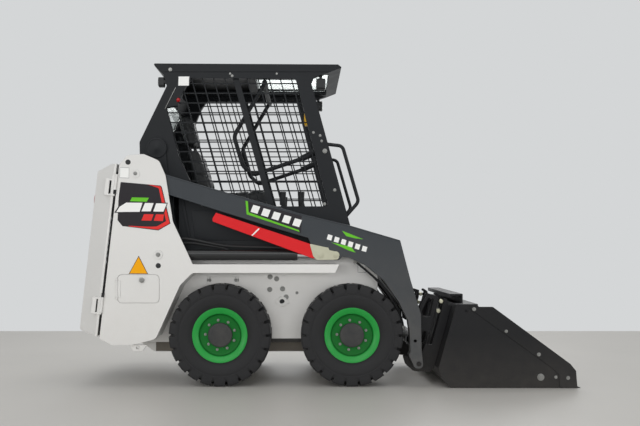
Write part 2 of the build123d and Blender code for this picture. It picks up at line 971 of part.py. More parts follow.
with BuildPart() as lift_arm:
    with BuildSketch(side(arm_inner_y)):
        outline(arm_outline)
        with Locations(arm_pivot):
            Circle(arm_boss_radius)
            Circle(arm_pin_radius + running_fit, mode=Mode.SUBTRACT)
        with Locations(bucket_pin):
            Circle(bucket_pin_radius + running_fit, mode=Mode.SUBTRACT)
        with Locations((508, 263)):
            Circle(9, mode=Mode.SUBTRACT)
    extrude(amount=arm_width)
    with BuildSketch(side(arm_inner_y + arm_plate)):
        outline(
            [
                (-150, 700, 0),
                (118, 700, 0),
                (118, fork_top_z - 20, 0),
                (90, fork_top_z, 0),
                (-150, fork_top_z + 10, 0),
            ]
        )
    extrude(amount=arm_width - 2 * arm_plate, mode=Mode.SUBTRACT)
    with BuildSketch(side(arm_inner_y)):
        with Locations(lift_eye):
            Circle(lift_pin_radius)
    extrude(amount=arm_plate, mode=Mode.SUBTRACT)
    with BuildSketch(side(arm_outer_y - arm_plate)):
        with Locations(lift_eye):
            Circle(lift_pin_radius)
    extrude(amount=arm_plate, mode=Mode.SUBTRACT)
    with BuildSketch(side(tilt_cylinder_y + eye_width / 2 + 2)):
        with Locations(tilt_base):
            Circle(24)
    extrude(amount=arm_inner_y - tilt_cylinder_y - eye_width / 2 - 2)
    with BuildSketch(side(tilt_cylinder_y - eye_width / 2 - 12)):
        with Locations(tilt_base):
            Circle(tilt_pin_radius)
    extrude(amount=eye_width + 20)
    with BuildSketch(side(tilt_cylinder_y - eye_width / 2 - 12)):
        with Locations(tilt_base):
            Circle(22)
    extrude(amount=10)
export_pair(lift_arm, "lift_arm")

cross_tube_centre = (497, 266)
cross_tube_radius = 38
with BuildPart() as arm_cross_tube:
    with BuildSketch(side(-arm_inner_y)):
        with Locations(cross_tube_centre):
            Circle(cross_tube_radius)
            Circle(cross_tube_radius - 8, mode=Mode.SUBTRACT)
    extrude(amount=2 * arm_inner_y)
export_part(arm_cross_tube, "arm_cross_tube")

# Zinc bracket at the knee: holds the rod's pin and the safety prop
prop_outer_y = arm_outer_y + 3
prop_inner_y = arm_inner_y - 3
prop_wall = 5
bracket_plate = 6
bracket_y = prop_outer_y + 0.5
bracket_outline = [
    (-100, 823, 4),
    (6, 800, 4),
    (14, 786, 4),
    (68, 774, 14),
    (68, 732, 16),
    (-57, 729, 6),
    (-80, 750, 6),
]
with BuildPart() as knee_bracket:
    with BuildSketch(side(bracket_y)):
        outline(bracket_outline)
        with Locations(prop_pin):
            Circle(prop_pin_radius, mode=Mode.SUBTRACT)
    extrude(amount=bracket_plate)
    with BuildSketch(side(arm_outer_y)):
        with Locations(lift_eye):
            Circle(21)
        with Locations((-4, 797)):
            Rectangle(22, 8)
    extrude(amount=bracket_y - arm_outer_y)
    with BuildSketch(side(arm_outer_y - arm_plate)):
        with Locations(lift_eye):
            Circle(lift_pin_radius)
    extrude(amount=bracket_y + bracket_plate + 4 - arm_outer_y + arm_plate)
    with BuildSketch(side(prop_outer_y - prop_wall)):
        with Locations(prop_pin):
            Circle(prop_pin_radius)
    extrude(amount=bracket_y + bracket_plate + 4 - prop_outer_y + prop_wall)
    with BuildSketch(side(prop_inner_y - bracket_plate - 0.5)):
        outline(bracket_outline)
    extrude(amount=bracket_plate)
    with BuildSketch(side(prop_inner_y - 0.5)):
        with Locations(lift_eye):
            Circle(21)
        with Locations((-4, 797)):
            Rectangle(22, 8)
    extrude(amount=arm_inner_y - prop_inner_y + 0.5)
    with BuildSketch(side(prop_inner_y - 0.5)):
        with Locations(lift_eye):
            Circle(lift_pin_radius)
        with Locations(prop_pin):
            Circle(prop_pin_radius)
    extrude(amount=prop_wall + 0.5)
    with BuildSketch(side(arm_inner_y)):
        with Locations(lift_eye):
            Circle(lift_pin_radius)
    extrude(amount=arm_plate)
both_sides(knee_bracket, "knee_brackets")

# Safety prop stored under the right arm: a channel that straddles the cylinder
with BuildPart() as arm_prop:
    with BuildSketch(side(prop_inner_y)):
        outline(
            [
                (-640, 1002, 6),
                (-98, 822, 6),
                (-14, 790, 24),
                (-14, 734, 24),
                (-91, 741, 6),
                (-658, 951, 4),
                (-660, 968, 6),
            ]
        )
        with Locations(prop_pin):
            Circle(prop_pin_radius + running_fit, mode=Mode.SUBTRACT)
    extrude(amount=prop_outer_y - prop_inner_y)
    with BuildSketch(side(prop_inner_y + prop_wall)):
        with BuildLine():
            Polyline(
                (-700, 1012),
                (-98, 816),
                (20, 776),
                (20, 700),
                (-91, 700),
                (-700, 930),
                close=True,
            )
        make_face()
    extrude(amount=prop_outer_y - prop_inner_y - 2 * prop_wall, mode=Mode.SUBTRACT)
export_part(arm_prop, "arm_prop")


# Cylinders: a barrel on its base pin, and the rod that slides in it


def cylinder_pieces(
    base, tip, y, pin, barrel, barrel_length, rod, rod_length, retract, eye, names
):
    run = Vector(tip[0] - base[0], 0, tip[1] - base[1]).normalized()
    reach = hypot(tip[0] - base[0], tip[1] - base[1])
    base_plane = Plane(origin=(base[0], -y, base[1]), x_dir=(0, 1, 0), z_dir=run)
    with BuildPart() as barrel_part:
        with BuildSketch(base_plane.offset(eye / 2)):
            Circle(barrel * 0.6)
        extrude(amount=eye / 2 + 12)
        with BuildSketch(base_plane.offset(eye + 6)):
            Circle(barrel)
        extrude(amount=barrel_length - eye - 6)
        with BuildSketch(side(y - eye_width / 2)):
            with Locations(base):
                Circle(eye)
        extrude(amount=eye_width)
        with BuildSketch(side(y - eye_width / 2)):
            with Locations(base):
                Circle(pin + running_fit)
        extrude(amount=eye_width, mode=Mode.SUBTRACT)
        with BuildSketch(base_plane.offset(reach - rod_length - retract - 1)):
            Circle(rod + running_fit)
        extrude(amount=barrel_length, mode=Mode.SUBTRACT)
        with BuildSketch(base_plane.offset(barrel_length - 40)):
            Circle(barrel)
            Circle(barrel - 2, mode=Mode.SUBTRACT)
        extrude(amount=6, mode=Mode.SUBTRACT)
    both_sides(barrel_part, names[0])
    with BuildPart() as rod_part:
        with BuildSketch(base_plane.offset(reach - rod_length)):
            Circle(rod)
        extrude(amount=rod_length - eye * 0.5)
        with BuildSketch(side(y - eye_width / 2)):
            with Locations(tip):
                Circle(eye)
        extrude(amount=eye_width)
        with BuildSketch(side(y - eye_width / 2)):
            with Locations(tip):
                Circle(pin + running_fit)
        extrude(amount=eye_width, mode=Mode.SUBTRACT)
    both_sides(rod_part, names[1])


cylinder_pieces(
    lift_base,
    lift_eye,
    arm_mid_y,
    lift_pin_radius,
    lift_barrel_radius,
    lift_barrel_length,
    lift_rod_radius,
    lift_rod_length,
    0,
    27,
    ("lift_barrels", "lift_rods"),
)
cylinder_pieces(
    tilt_base,
    tilt_eye,
    tilt_cylinder_y,
    tilt_pin_radius,
    tilt_barrel_radius,
    tilt_barrel_length,
    tilt_rod_radius,
    tilt_rod_length,
    tilt_retract,
    25,
    ("tilt_barrels", "tilt_rods"),
)

# Bucket's leaning back, which the coupler bears on
bucket_sheet = 10
cheek = 12
side_cutter = 4
cheek_hole = (791, 439)
cheek_hole_radius = 8
bucket_back_top = (737, 478)
bucket_back_low = (634, 114)
back_run = Vector(
    bucket_back_top[0] - bucket_back_low[0], 0, bucket_back_top[1] - bucket_back_low[1]
).normalized()
back_normal = Vector(-back_run.Z, 0, back_run.X)
coupler_plane = Plane(
    origin=Vector(bucket_back_low[0], 0, bucket_back_low[1]) + back_normal * running_fit,
    x_dir=(0, -1, 0),
    z_dir=back_normal,
)

# Coupler: leaning frame between the arms, with ears for the pins and tilt rods
coupler_plate = 16
coupler_height = 380
coupler_ear = 8
ear_gap = 68
inner_ear_y = tilt_cylinder_y - ear_gap / 2 - coupler_ear
outer_ear_y = tilt_cylinder_y + ear_gap / 2
coupler_half = outer_ear_y + coupler_ear
ear_window = [
    (594, 506, 6),
    (632, 502, 6),
    (606, 396, 8),
    (566, 396, 8),
    (557, 428, 10),
]
lever_slot = [
    (652, 560, 0),
    (700, 560, 0),
    (686, 480, 0),
    (616, 232, 12),
    (586, 232, 12),
    (648, 470, 0),
]
with BuildPart() as coupler_frame:
    with BuildSketch(coupler_plane):
        with Locations((0, -20)):
            Rectangle(2 * coupler_half, coupler_height, align=(Align.CENTER, Align.MIN))
        with Locations((0, 70)):
            Rectangle(380, 230, align=(Align.CENTER, Align.MIN), mode=Mode.SUBTRACT)
    extrude(amount=coupler_plate)
    for ear_y in (inner_ear_y, outer_ear_y):
        with BuildSketch(side(ear_y)):
            outline(
                [
                    (592, 534, 6),
                    (536, 433, 6),
                    (545, 318, 16),
                    (598, 306, 10),
                    (584, 250, 0),
                    (556, 182, 30),
                    (500, 168, 30),
                    (452, 166, 10),
                    (468, 112, 25),
                    (510, 78, 30),
                    (612, 72, 10),
                    (716, 455, 0),
                    (705, 500, 8),
                ]
            )
            outline(ear_window, mode=Mode.SUBTRACT)
            outline(lever_slot, mode=Mode.SUBTRACT)
            with Locations(tilt_eye):
                Circle(tilt_pin_radius, mode=Mode.SUBTRACT)
        extrude(amount=coupler_ear)
    for start, length in (
        (inner_ear_y, coupler_ear + (ear_gap - eye_width) / 2 - 0.5),
        (tilt_cylinder_y + eye_width / 2 + 0.5, coupler_ear + (ear_gap - eye_width) / 2 - 0.5),
    ):
        with BuildSketch(side(start)):
            with Locations(tilt_eye):
                Circle(tilt_pin_radius)
        extrude(amount=length)
    with BuildSketch(side(outer_ear_y)):
        with Locations(bucket_pin):
            Circle(bucket_pin_radius)
    extrude(amount=arm_outer_y + 4 - outer_ear_y)
    with BuildSketch(side(outer_ear_y)):
        with Locations(bucket_pin):
            Circle(26)
    extrude(amount=arm_inner_y - 1 - outer_ear_y)
    with BuildSketch(side(250)):
        outline(
            [
                (700, 485, 0),
                (690, 515, 8),
                (660, 535, 8),
                (652, 522, 6),
                (680, 500, 8),
                (684, 436, 0),
                (716, 444, 0),
            ]
        )
    extrude(amount=22)
    mirror(about=Plane.XZ)
export_part(coupler_frame, "coupler_frame")

# Bucket: bent shell, two cheeks and a cutting edge
bucket_heel = (703, 0)
shell_front_x = 1329
edge_tip_x = 1448
edge_thickness = 16
with BuildPart() as bucket_shell:
    with BuildSketch(side(-bucket_half_width + cheek)):
        with BuildLine():
            Polyline(
                bucket_back_top,
                bucket_back_low,
                (654, 50),
                bucket_heel,
                (shell_front_x, 0),
                (shell_front_x, bucket_sheet),
                (707, bucket_sheet),
                (663, 56),
                (645, 114),
                (746, 470),
                (860, 470),
                (860, 478),
                close=True,
            )
        make_face()
    extrude(amount=2 * (bucket_half_width - cheek))
    with BuildSketch(side(-coupler_half)):
        with BuildLine():
            Polyline(
                (797, 478),
                (797, 530),
                (722, 530),
                (722, 508),
                (732, 508),
                (732, 520),
                (787, 520),
                (787, 478),
                close=True,
            )
        make_face()
    extrude(amount=2 * coupler_half)
export_part(bucket_shell, "bucket_shell")

with BuildPart() as bucket_cheek:
    with BuildSketch(side(bucket_half_width - cheek)):
        outline(
            [
                (*bucket_back_top, 4),
                (*bucket_back_low, 20),
                (654, 50, 20),
                (*bucket_heel, 8),
                (1425, 0, 0),
                (1417, 98, 10),
                (1385, 138, 10),
                (943, 463, 20),
                (863, 463, 0),
                (855, 476, 4),
            ]
        )
        with Locations(cheek_hole):
            Circle(cheek_hole_radius, mode=Mode.SUBTRACT)
    extrude(amount=cheek)
    with BuildSketch(side(bucket_half_width - side_cutter)):
        outline(
            [
                (bucket_back_low[0] - 50, -50, 0),
                (bucket_back_low[0] - 50, bucket_back_top[1] + 50, 0),
                (815, bucket_back_top[1] + 50, 0),
                (815, 450, 0),
                (1285, 112, 12),
                (1320, 77, 12),
                (1328, -50, 0),
            ]
        )
    extrude(amount=side_cutter, mode=Mode.SUBTRACT)
both_sides(bucket_cheek, "bucket_cheeks")

with BuildPart() as cutting_edge:
    with BuildSketch(side(-bucket_half_width + cheek)):
        with BuildLine():
            Polyline(
                (shell_front_x, 0),
                (edge_tip_x, 0),
                (edge_tip_x - 40, edge_thickness),
                (shell_front_x - 60, edge_thickness + bucket_sheet),
                (shell_front_x - 60, bucket_sheet),
                (shell_front_x, bucket_sheet),
                close=True,
            )
        make_face()
    extrude(amount=2 * (bucket_half_width - cheek))
export_part(cutting_edge, "cutting_edge")
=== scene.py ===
import json
import math

import bmesh
import bpy
from mathutils import Matrix, Vector


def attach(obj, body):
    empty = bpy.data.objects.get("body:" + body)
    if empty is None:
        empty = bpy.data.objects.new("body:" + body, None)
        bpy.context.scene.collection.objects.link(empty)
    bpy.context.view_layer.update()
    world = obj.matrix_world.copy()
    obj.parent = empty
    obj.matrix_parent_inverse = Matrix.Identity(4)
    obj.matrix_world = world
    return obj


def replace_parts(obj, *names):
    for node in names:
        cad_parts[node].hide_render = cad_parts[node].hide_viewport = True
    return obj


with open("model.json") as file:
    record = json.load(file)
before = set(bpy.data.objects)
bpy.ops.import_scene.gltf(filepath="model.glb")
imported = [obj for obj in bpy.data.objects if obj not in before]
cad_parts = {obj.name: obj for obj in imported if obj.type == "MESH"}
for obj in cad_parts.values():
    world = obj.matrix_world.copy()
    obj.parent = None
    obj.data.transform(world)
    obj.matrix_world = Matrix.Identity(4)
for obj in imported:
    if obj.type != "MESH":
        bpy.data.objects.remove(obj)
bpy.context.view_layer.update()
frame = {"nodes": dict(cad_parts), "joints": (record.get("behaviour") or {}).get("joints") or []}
nodes = frame["nodes"]
joints = {joint["name"]: joint for joint in frame["joints"]}
scene = bpy.context.scene
right = -1
left = 1
sides = {"Right": right, "Left": left}


def link(obj):
    scene.collection.objects.link(obj)
    return obj


def pieceFrom(name, bm, material, body, smooth=None):
    # turns a bmesh into a finished piece that rides on its body
    bmesh.ops.recalc_face_normals(bm, faces=bm.faces)
    mesh = bpy.data.meshes.new(name)
    bm.to_mesh(mesh)
    bm.free()
    return finishPiece(name, mesh, material, body, smooth)


def finishPiece(name, mesh, material, body, smooth=None):
    # the piece gets the one material given
    mesh.materials.clear()
    mesh.materials.append(material)
    if smooth is not None:
        mesh.shade_smooth()
        mesh.set_sharp_from_angle(angle=math.radians(smooth))
    piece = link(bpy.data.objects.new(name, mesh))
    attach(piece, body)
    return piece


def addLathe(bm, profile, centre, outward, steps=96):
    # profile: (radius, distance along y) pairs, turned about the y axis through centre
    rings = []
    for radius, reach in profile:
        if radius < 1e-6:
            rings.append([bm.verts.new(centre + Vector((0, outward * reach, 0)))])
            continue
        ring = []
        for step in range(steps):
            angle = 2 * math.pi * step / steps
            offset = Vector((radius * math.cos(angle), outward * reach, radius * math.sin(angle)))
            ring.append(bm.verts.new(centre + offset))
        rings.append(ring)
    for first, second in zip(rings, rings[1:]):
        for step in range(steps):
            after = (step + 1) % steps
            corners = [first[step % len(first)], first[after % len(first)]]
            corners += [second[after % len(second)], second[step % len(second)]]
            unique = list(dict.fromkeys(corners))
            if len(unique) > 2:
                bm.faces.new(unique)
    return rings


def addPrism(bm, corners, low, high, matrix=None):
    # corners: (x, z) pairs in side view, extruded from y low to y high
    bottom = [bm.verts.new((x, low, z)) for x, z in corners]
    top = [bm.verts.new((x, high, z)) for x, z in corners]
    bm.faces.new(bottom)
    bm.faces.new(top[::-1])
    for index in range(len(corners)):
        after = (index + 1) % len(corners)
        bm.faces.new((bottom[index], top[index], top[after], bottom[after]))
    if matrix:
        bmesh.ops.transform(bm, matrix=matrix, verts=bottom + top)


def addBox(bm, centre, size):
    made = bmesh.ops.create_cube(bm, size=1)["verts"]
    bmesh.ops.scale(bm, vec=size, verts=made)
    bmesh.ops.translate(bm, vec=centre, verts=made)


def addRod(bm, start, end, radius, steps=24):
    run = Vector(end) - Vector(start)
    made = bmesh.ops.create_cone(
        bm, cap_ends=True, segments=steps, radius1=radius, radius2=radius, depth=run.length
    )["verts"]
    turn = run.to_track_quat("Z", "Y").to_matrix()
    bmesh.ops.rotate(bm, matrix=turn, verts=made)
    bmesh.ops.translate(bm, vec=(Vector(start) + Vector(end)) / 2, verts=made)


def roundEdges(bm, width, segments=2, angle=40):
    sharp = [
        edge
        for edge in bm.edges
        if len(edge.link_faces) == 2 and edge.calc_face_angle(0) > math.radians(angle)
    ]
    bmesh.ops.bevel(
        bm, geom=sharp, offset=width, segments=segments, profile=0.6, affect="EDGES", clamp_overlap=True
    )


def tubeMesh(name, points, radius, steps=4):
    # a bent tube through the points, its corners rounded by a spline
    curve = bpy.data.curves.new(name, "CURVE")
    curve.dimensions = "3D"
    curve.bevel_depth = radius
    curve.bevel_resolution = steps
    curve.use_fill_caps = True
    spline = curve.splines.new("NURBS")
    spline.points.add(len(points) - 1)
    for point, place in zip(spline.points, points):
        point.co = (*place, 1)
    spline.order_u = 3
    spline.use_endpoint_u = True
    spline.resolution_u = 8
    holder = link(bpy.data.objects.new(name, curve))
    mesh = bpy.data.meshes.new_from_object(holder.evaluated_get(bpy.context.evaluated_depsgraph_get()))
    bpy.data.objects.remove(holder)
    return mesh


cameraSettings = {
    "place": (-0.1445, -5.436, 0.783),
    "lens": 48.0,
    "sensor": 36,
    "imageWidth": 640,
    "imageHeight": 426,
    "vanishingPixel": (302, 250.7),
}


def addCamera(settings):
    data = bpy.data.cameras.new("photoCamera")
    data.lens = settings["lens"]
    data.sensor_width = settings["sensor"]
    width = settings["imageWidth"]
    data.shift_x = (width / 2 - settings["vanishingPixel"][0]) / width
    data.shift_y = (settings["vanishingPixel"][1] - settings["imageHeight"] / 2) / width
    camera = link(bpy.data.objects.new("photoCamera", data))
    camera.location = settings["place"]
    camera.rotation_euler = (math.radians(90), 0, 0)
    scene.camera = camera


addCamera(cameraSettings)
scene.view_settings.view_transform = "Standard"
print("camera placed")


def linear(hexColour):
    values = [int(hexColour[start : start + 2], 16) / 255 for start in (1, 3, 5)]
    converted = [v / 12.92 if v <= 0.04045 else ((v + 0.055) / 1.055) ** 2.4 for v in values]
    return (*converted, 1)


def addNode(tree, kind, inputs=None, **settings):
    # an input is a value, a socket, or a node, which gives its first output
    node = tree.nodes.new(kind)
    for name, value in settings.items():
        setattr(node, name, value)
    for key, value in (inputs or {}).items():
        if isinstance(value, bpy.types.Node):
            value = value.outputs[0]
        if isinstance(value, bpy.types.NodeSocket):
            tree.links.new(value, node.inputs[key])
        else:
            node.inputs[key].default_value = value
    return node


def newMaterial(name):
    material = bpy.data.materials.new(name)
    material.use_nodes = True
    tree = material.node_tree
    tree.nodes.clear()
    return material, tree


def paint(name, colour, shade, coat=0.15, gloss=(0.32, 0.42), **changes):
    # sprayed or powder coated sheet: even colour, faint orange peel, dust low down and in patches
    settings = {
        "blotchScale": 1.6,
        "dust": 0.25,
        "dustTop": 0.9,
        "dustColour": "#A79F93",
        "edge": 0.003,
        "peel": 0.12,
        "specular": 0.5,
    }
    settings.update(changes)
    material, tree = newMaterial(name)
    place = addNode(tree, "ShaderNodeTexCoord").outputs["Object"]
    blotch = addNode(
        tree, "ShaderNodeTexNoise", {"Vector": place, "Scale": settings["blotchScale"], "Detail": 4}
    )
    tone = addNode(
        tree, "ShaderNodeMix", {0: blotch, 6: linear(colour), 7: linear(shade)}, data_type="RGBA"
    )
    height = addNode(tree, "ShaderNodeSeparateXYZ", {0: place}).outputs["Z"]
    low = addNode(
        tree,
        "ShaderNodeMapRange",
        {0: height, 1: 0.0, 2: settings["dustTop"], 3: settings["dust"], 4: 0.0},
    )
    grime = addNode(
        tree, "ShaderNodeTexNoise", {"Vector": place, "Scale": 14, "Detail": 8, "Roughness": 0.65}
    )
    dustAmount = addNode(tree, "ShaderNodeMath", {0: low, 1: grime}, operation="MULTIPLY")
    dusty = addNode(
        tree,
        "ShaderNodeMix",
        {0: dustAmount, 6: tone.outputs[2], 7: linear(settings["dustColour"])},
        data_type="RGBA",
    )
    matt = addNode(tree, "ShaderNodeMapRange", {0: grime, 1: 0.3, 2: 0.7, 3: gloss[0], 4: gloss[1]})
    rounded = addNode(tree, "ShaderNodeBevel", {"Radius": settings["edge"]}, samples=4)
    # orange peel: about 2 mm across, drawn at 4 mm so that it shows
    peel = addNode(tree, "ShaderNodeTexNoise", {"Vector": place, "Scale": 240, "Detail": 2})
    bump = addNode(
        tree,
        "ShaderNodeBump",
        {"Strength": settings["peel"], "Distance": 0.0006, "Height": peel, "Normal": rounded},
    )
    shader = addNode(
        tree,
        "ShaderNodeBsdfPrincipled",
        {
            "Base Color": dusty.outputs[2],
            "Roughness": matt,
            "Normal": bump,
            "Coat Weight": coat,
            "Coat Roughness": 0.12,
            "Specular IOR Level": settings["specular"],
        },
    )
    addNode(tree, "ShaderNodeOutputMaterial", {"Surface": shader})
    return material


# white polyester powder coat: smooth, half gloss, slightly warm
whitePowderCoat = paint("whitePowderCoat", "#DCDBD8", "#D2D1CE", 0.2, (0.3, 0.38), dust=0.3)
# dark grey powder coat on the arms: half gloss with a cool tint
armPowderCoat = paint("armPowderCoat", "#33373B", "#2F3337", 0.0, (0.36, 0.44), specular=0.4)
# near-black fine-texture powder coat on the cab: matter, with a visible grain
cabPowderCoat = paint(
    "cabPowderCoat", "#1C1E21", "#191B1D", 0.0, (0.42, 0.5), peel=0.2, specular=0.25, dust=0.12
)
# black enamel on the bucket and coupler: brushed by soil, patchy gloss
bucketEnamel = paint(
    "bucketEnamel", "#18181A", "#1D1D1E", 0.0, (0.4, 0.52),
    blotchScale=3, dust=0.1, dustTop=0.3, specular=0.25,
)
# green wheel enamel: clean and glossy
wheelEnamel = paint(
    "wheelEnamel", "#14953A", "#108A34", 0.0, (0.28, 0.36), dust=0.1, edge=0.001, specular=0.3
)
# painted shade: the green wheel enamel made darker in the sunken disc, where the rim's hollow lies in
# shade; also rougher and less glossy
dishShadeEnamel = paint(
    "dishShadeEnamel", "#0B6B26", "#085A1F", 0.0, (0.4, 0.5), dust=0.05, edge=0.001, specular=0.15
)
# dark hub enamel: flat blue grey
hubEnamel = paint("hubEnamel", "#25292E", "#212529", 0.0, (0.42, 0.5), edge=0.001, specular=0.2)
# signal red enamel on the safety prop: glossy
propEnamel = paint(
    "propEnamel", "#D5161D", "#C9141A", 0.0, (0.3, 0.38), dust=0.05, specular=0.3
)
# black enamel of the axle housings inside the wheel arches and of the seat frame: matt, dusty; the same
# colour is painted shadow in the hinge housings' slots and along the tub's bottom edge
frameEnamelAndShadow = paint(
    "frameEnamelAndShadow", "#1E1F21", "#252628", 0.0, (0.5, 0.65), dust=0.2, specular=0.25
)
print("paints made")


def platedSteel(name, colour, shade, roughness, streak):
    # turned or plated steel: metallic, with fine streaks from the tool and faint stains
    material, tree = newMaterial(name)
    place = addNode(tree, "ShaderNodeTexCoord").outputs["Object"]
    stretched = addNode(tree, "ShaderNodeMapping", {"Vector": place, "Scale": (40, 400, 400)})
    lines = addNode(tree, "ShaderNodeTexNoise", {"Vector": stretched, "Scale": 1.5, "Detail": 3})
    stain = addNode(tree, "ShaderNodeTexNoise", {"Vector": place, "Scale": 30, "Detail": 5})
    colours = addNode(
        tree, "ShaderNodeMix", {0: stain, 6: linear(colour), 7: linear(shade)}, data_type="RGBA"
    )
    rough = addNode(
        tree, "ShaderNodeMapRange", {0: lines, 1: 0.3, 2: 0.7, 3: roughness, 4: roughness + 0.15}
    )
    rounded = addNode(tree, "ShaderNodeBevel", {"Radius": 0.001}, samples=4)
    bump = addNode(
        tree,
        "ShaderNodeBump",
        {"Strength": streak, "Distance": 0.0002, "Height": lines, "Normal": rounded},
    )
    shader = addNode(
        tree,
        "ShaderNodeBsdfPrincipled",
        {"Base Color": colours.outputs[2], "Metallic": 1.0, "Roughness": rough, "Normal": bump},
    )
    addNode(tree, "ShaderNodeOutputMaterial", {"Surface": shader})
    return material


# yellow-passivated zinc plate: pale, slightly greenish metal
zincPlate = platedSteel("zincPlate", "#DCDAC4", "#C9C7B0", 0.42, 0.1)
# hard chrome on the cylinder rods: mirror-like
hardChrome = platedSteel("hardChrome", "#E6E6E8", "#D8D9DC", 0.08, 0.02)
# bright bolt heads
boltSteel = platedSteel("boltSteel", "#A8A8A5", "#8A8A87", 0.36, 0.05)
# cylinder tubes: gloss black enamel with a long clean highlight
cylinderEnamel = paint(
    "cylinderEnamel", "#1A1B1C", "#1F2021", 0.3, (0.2, 0.28), dust=0.08, edge=0.001, specular=0.4
)
# painted shade on the white belly pan under the machine: a brown-grey sheet, with patchy dust
bellyShadePaint = paint(
    "bellyShadePaint", "#6A665F", "#5A564F", 0.0, (0.6, 0.7), blotchScale=6, dust=0.3, specular=0.2
)
# worn steel of the cutting edge
wornSteel = platedSteel("wornSteel", "#4A4A4B", "#2B2B2C", 0.42, 0.3)


def mouldedSurface(name, colour, shade, roughness, grain, grainScale, sheen=0.0, specular=0.5):
    # rubber, vinyl or plastic with a fine moulded grain
    material, tree = newMaterial(name)
    place = addNode(tree, "ShaderNodeTexCoord").outputs["Object"]
    patches = addNode(tree, "ShaderNodeTexNoise", {"Vector": place, "Scale": 9, "Detail": 6})
    colours = addNode(
        tree, "ShaderNodeMix", {0: patches, 6: linear(colour), 7: linear(shade)}, data_type="RGBA"
    )
    rough = addNode(
        tree, "ShaderNodeMapRange", {0: patches, 1: 0.3, 2: 0.7, 3: roughness, 4: roughness + 0.12}
    )
    pores = addNode(tree, "ShaderNodeTexVoronoi", {"Vector": place, "Scale": grainScale})
    bump = addNode(tree, "ShaderNodeBump", {"Strength": grain, "Distance": 0.0008, "Height": pores})
    shader = addNode(
        tree,
        "ShaderNodeBsdfPrincipled",
        {
            "Base Color": colours.outputs[2],
            "Roughness": rough,
            "Normal": bump,
            "Sheen Weight": sheen,
            "Sheen Roughness": 0.5,
            "Specular IOR Level": specular,
        },
    )
    addNode(tree, "ShaderNodeOutputMaterial", {"Surface": shader})
    return material


# vulcanised tyre rubber: dark, bloomed grey in patches, dull
tyreRubber = mouldedSurface("tyreRubber", "#232324", "#2C2C2D", 0.6, 0.15, 320, 0.05, 0.25)
# leather-grained seat vinyl: soft highlight
seatVinyl = mouldedSurface("seatVinyl", "#232526", "#1E2021", 0.48, 0.35, 420)
# glass-filled nylon of knobs, lamps and grips: fine grain
nylonBlack = mouldedSurface("nylonBlack", "#1D1E1F", "#252627", 0.5, 0.25, 700)
# hose rubber
hoseRubber = mouldedSurface("hoseRubber", "#1B1B1C", "#242425", 0.55, 0.1, 500)
# moulded ABS of the stop switch: yellow body, red button
switchYellow = mouldedSurface("switchYellow", "#E8B41A", "#DDA815", 0.35, 0.05, 600)
switchRed = mouldedSurface("switchRed", "#C81E26", "#B81A22", 0.3, 0.05, 600)
# printed vinyl film on the panels: flat and smooth
filmCharcoal = mouldedSurface("filmCharcoal", "#2B292C", "#302E31", 0.35, 0.02, 900, 0.0, 0.15)
filmRed = mouldedSurface("filmRed", "#DD3A38", "#D63431", 0.35, 0.02, 900, 0.0, 0.15)
filmGreen = mouldedSurface("filmGreen", "#68BE32", "#62B72E", 0.35, 0.02, 900, 0.0, 0.15)
filmWhite = mouldedSurface("filmWhite", "#EDEDEA", "#E6E6E3", 0.35, 0.02, 900, 0.0, 0.15)
filmYellow = mouldedSurface("filmYellow", "#F0A815", "#EAA112", 0.35, 0.02, 900, 0.0, 0.15)
filmGrey = mouldedSurface("filmGrey", "#8E9092", "#88898B", 0.3, 0.02, 900, 0.0, 0.15)


def clearPane(name, colour, roughness, amount):
    # clear or tinted sheet with faint smears
    material, tree = newMaterial(name)
    place = addNode(tree, "ShaderNodeTexCoord").outputs["Object"]
    smear = addNode(tree, "ShaderNodeTexNoise", {"Vector": place, "Scale": 12, "Detail": 4})
    rough = addNode(
        tree, "ShaderNodeMapRange", {0: smear, 1: 0.3, 2: 0.7, 3: roughness, 4: roughness + 0.06}
    )
    shader = addNode(
        tree,
        "ShaderNodeBsdfPrincipled",
        {"Base Color": linear(colour), "Roughness": rough, "Transmission Weight": amount, "IOR": 1.5},
    )
    addNode(tree, "ShaderNodeOutputMaterial", {"Surface": shader})
    return material


# tempered cab glass, and red and clear polycarbonate lamp lenses
cabGlass = clearPane("cabGlass", "#E8EEEC", 0.02, 0.95)
redLens = clearPane("redLens", "#C8141A", 0.15, 0.5)
clearLens = clearPane("clearLens", "#F2F4F4", 0.08, 0.7)

# the CAD nodes that each finish is put on
print("materials made")

nodeFinish = {
    whitePowderCoat: [
        "chassis_tub", "side_frame_right", "side_frame_left", "chain_case_covers", "charge_hatch",
        "tailgate",
    ],
    cabPowderCoat: [
        "inner_uprights", "rear_frame", "bay_cover", "cab_side_right", "cab_side_left", "cab_roof",
        "cab_rear_wall", "cab_floor", "window_guards", "seat_bar", "grab_handles",
    ],
    frameEnamelAndShadow: ["axle_housings"],
    nylonBlack: ["battery_pack", "charge_socket", "control_levers", "work_lamps"],
    redLens: ["tail_lamps"],
    cabGlass: ["cab_glass"],
    seatVinyl: ["seat_cushion", "seat_back"],
    switchYellow: ["cab_fittings"],
    armPowderCoat: ["lift_arm_right", "lift_arm_left", "arm_cross_tube"],
    zincPlate: ["knee_brackets"],
    propEnamel: ["arm_prop"],
    cylinderEnamel: ["lift_barrels", "tilt_barrels"],
    hardChrome: ["lift_rods", "tilt_rods"],
    bucketEnamel: ["coupler_frame", "bucket_shell", "bucket_cheeks"],
    wornSteel: ["cutting_edge"],
}
for finish, names in nodeFinish.items():
    for name in names:
        nodes[name].data.materials.clear()
        nodes[name].data.materials.append(finish)
print("CAD nodes dressed")

wheelSettings = {
    "lugCount": 22,
    "nutCount": 9,
    "nutCircle": 0.086,
    "nutTurn": 8,
    "nutFace": 0.489,
    "capBoltCircle": 0.052,
    "capBoltTurns": (35, 155, 275),
    "capFace": 0.5125,
}


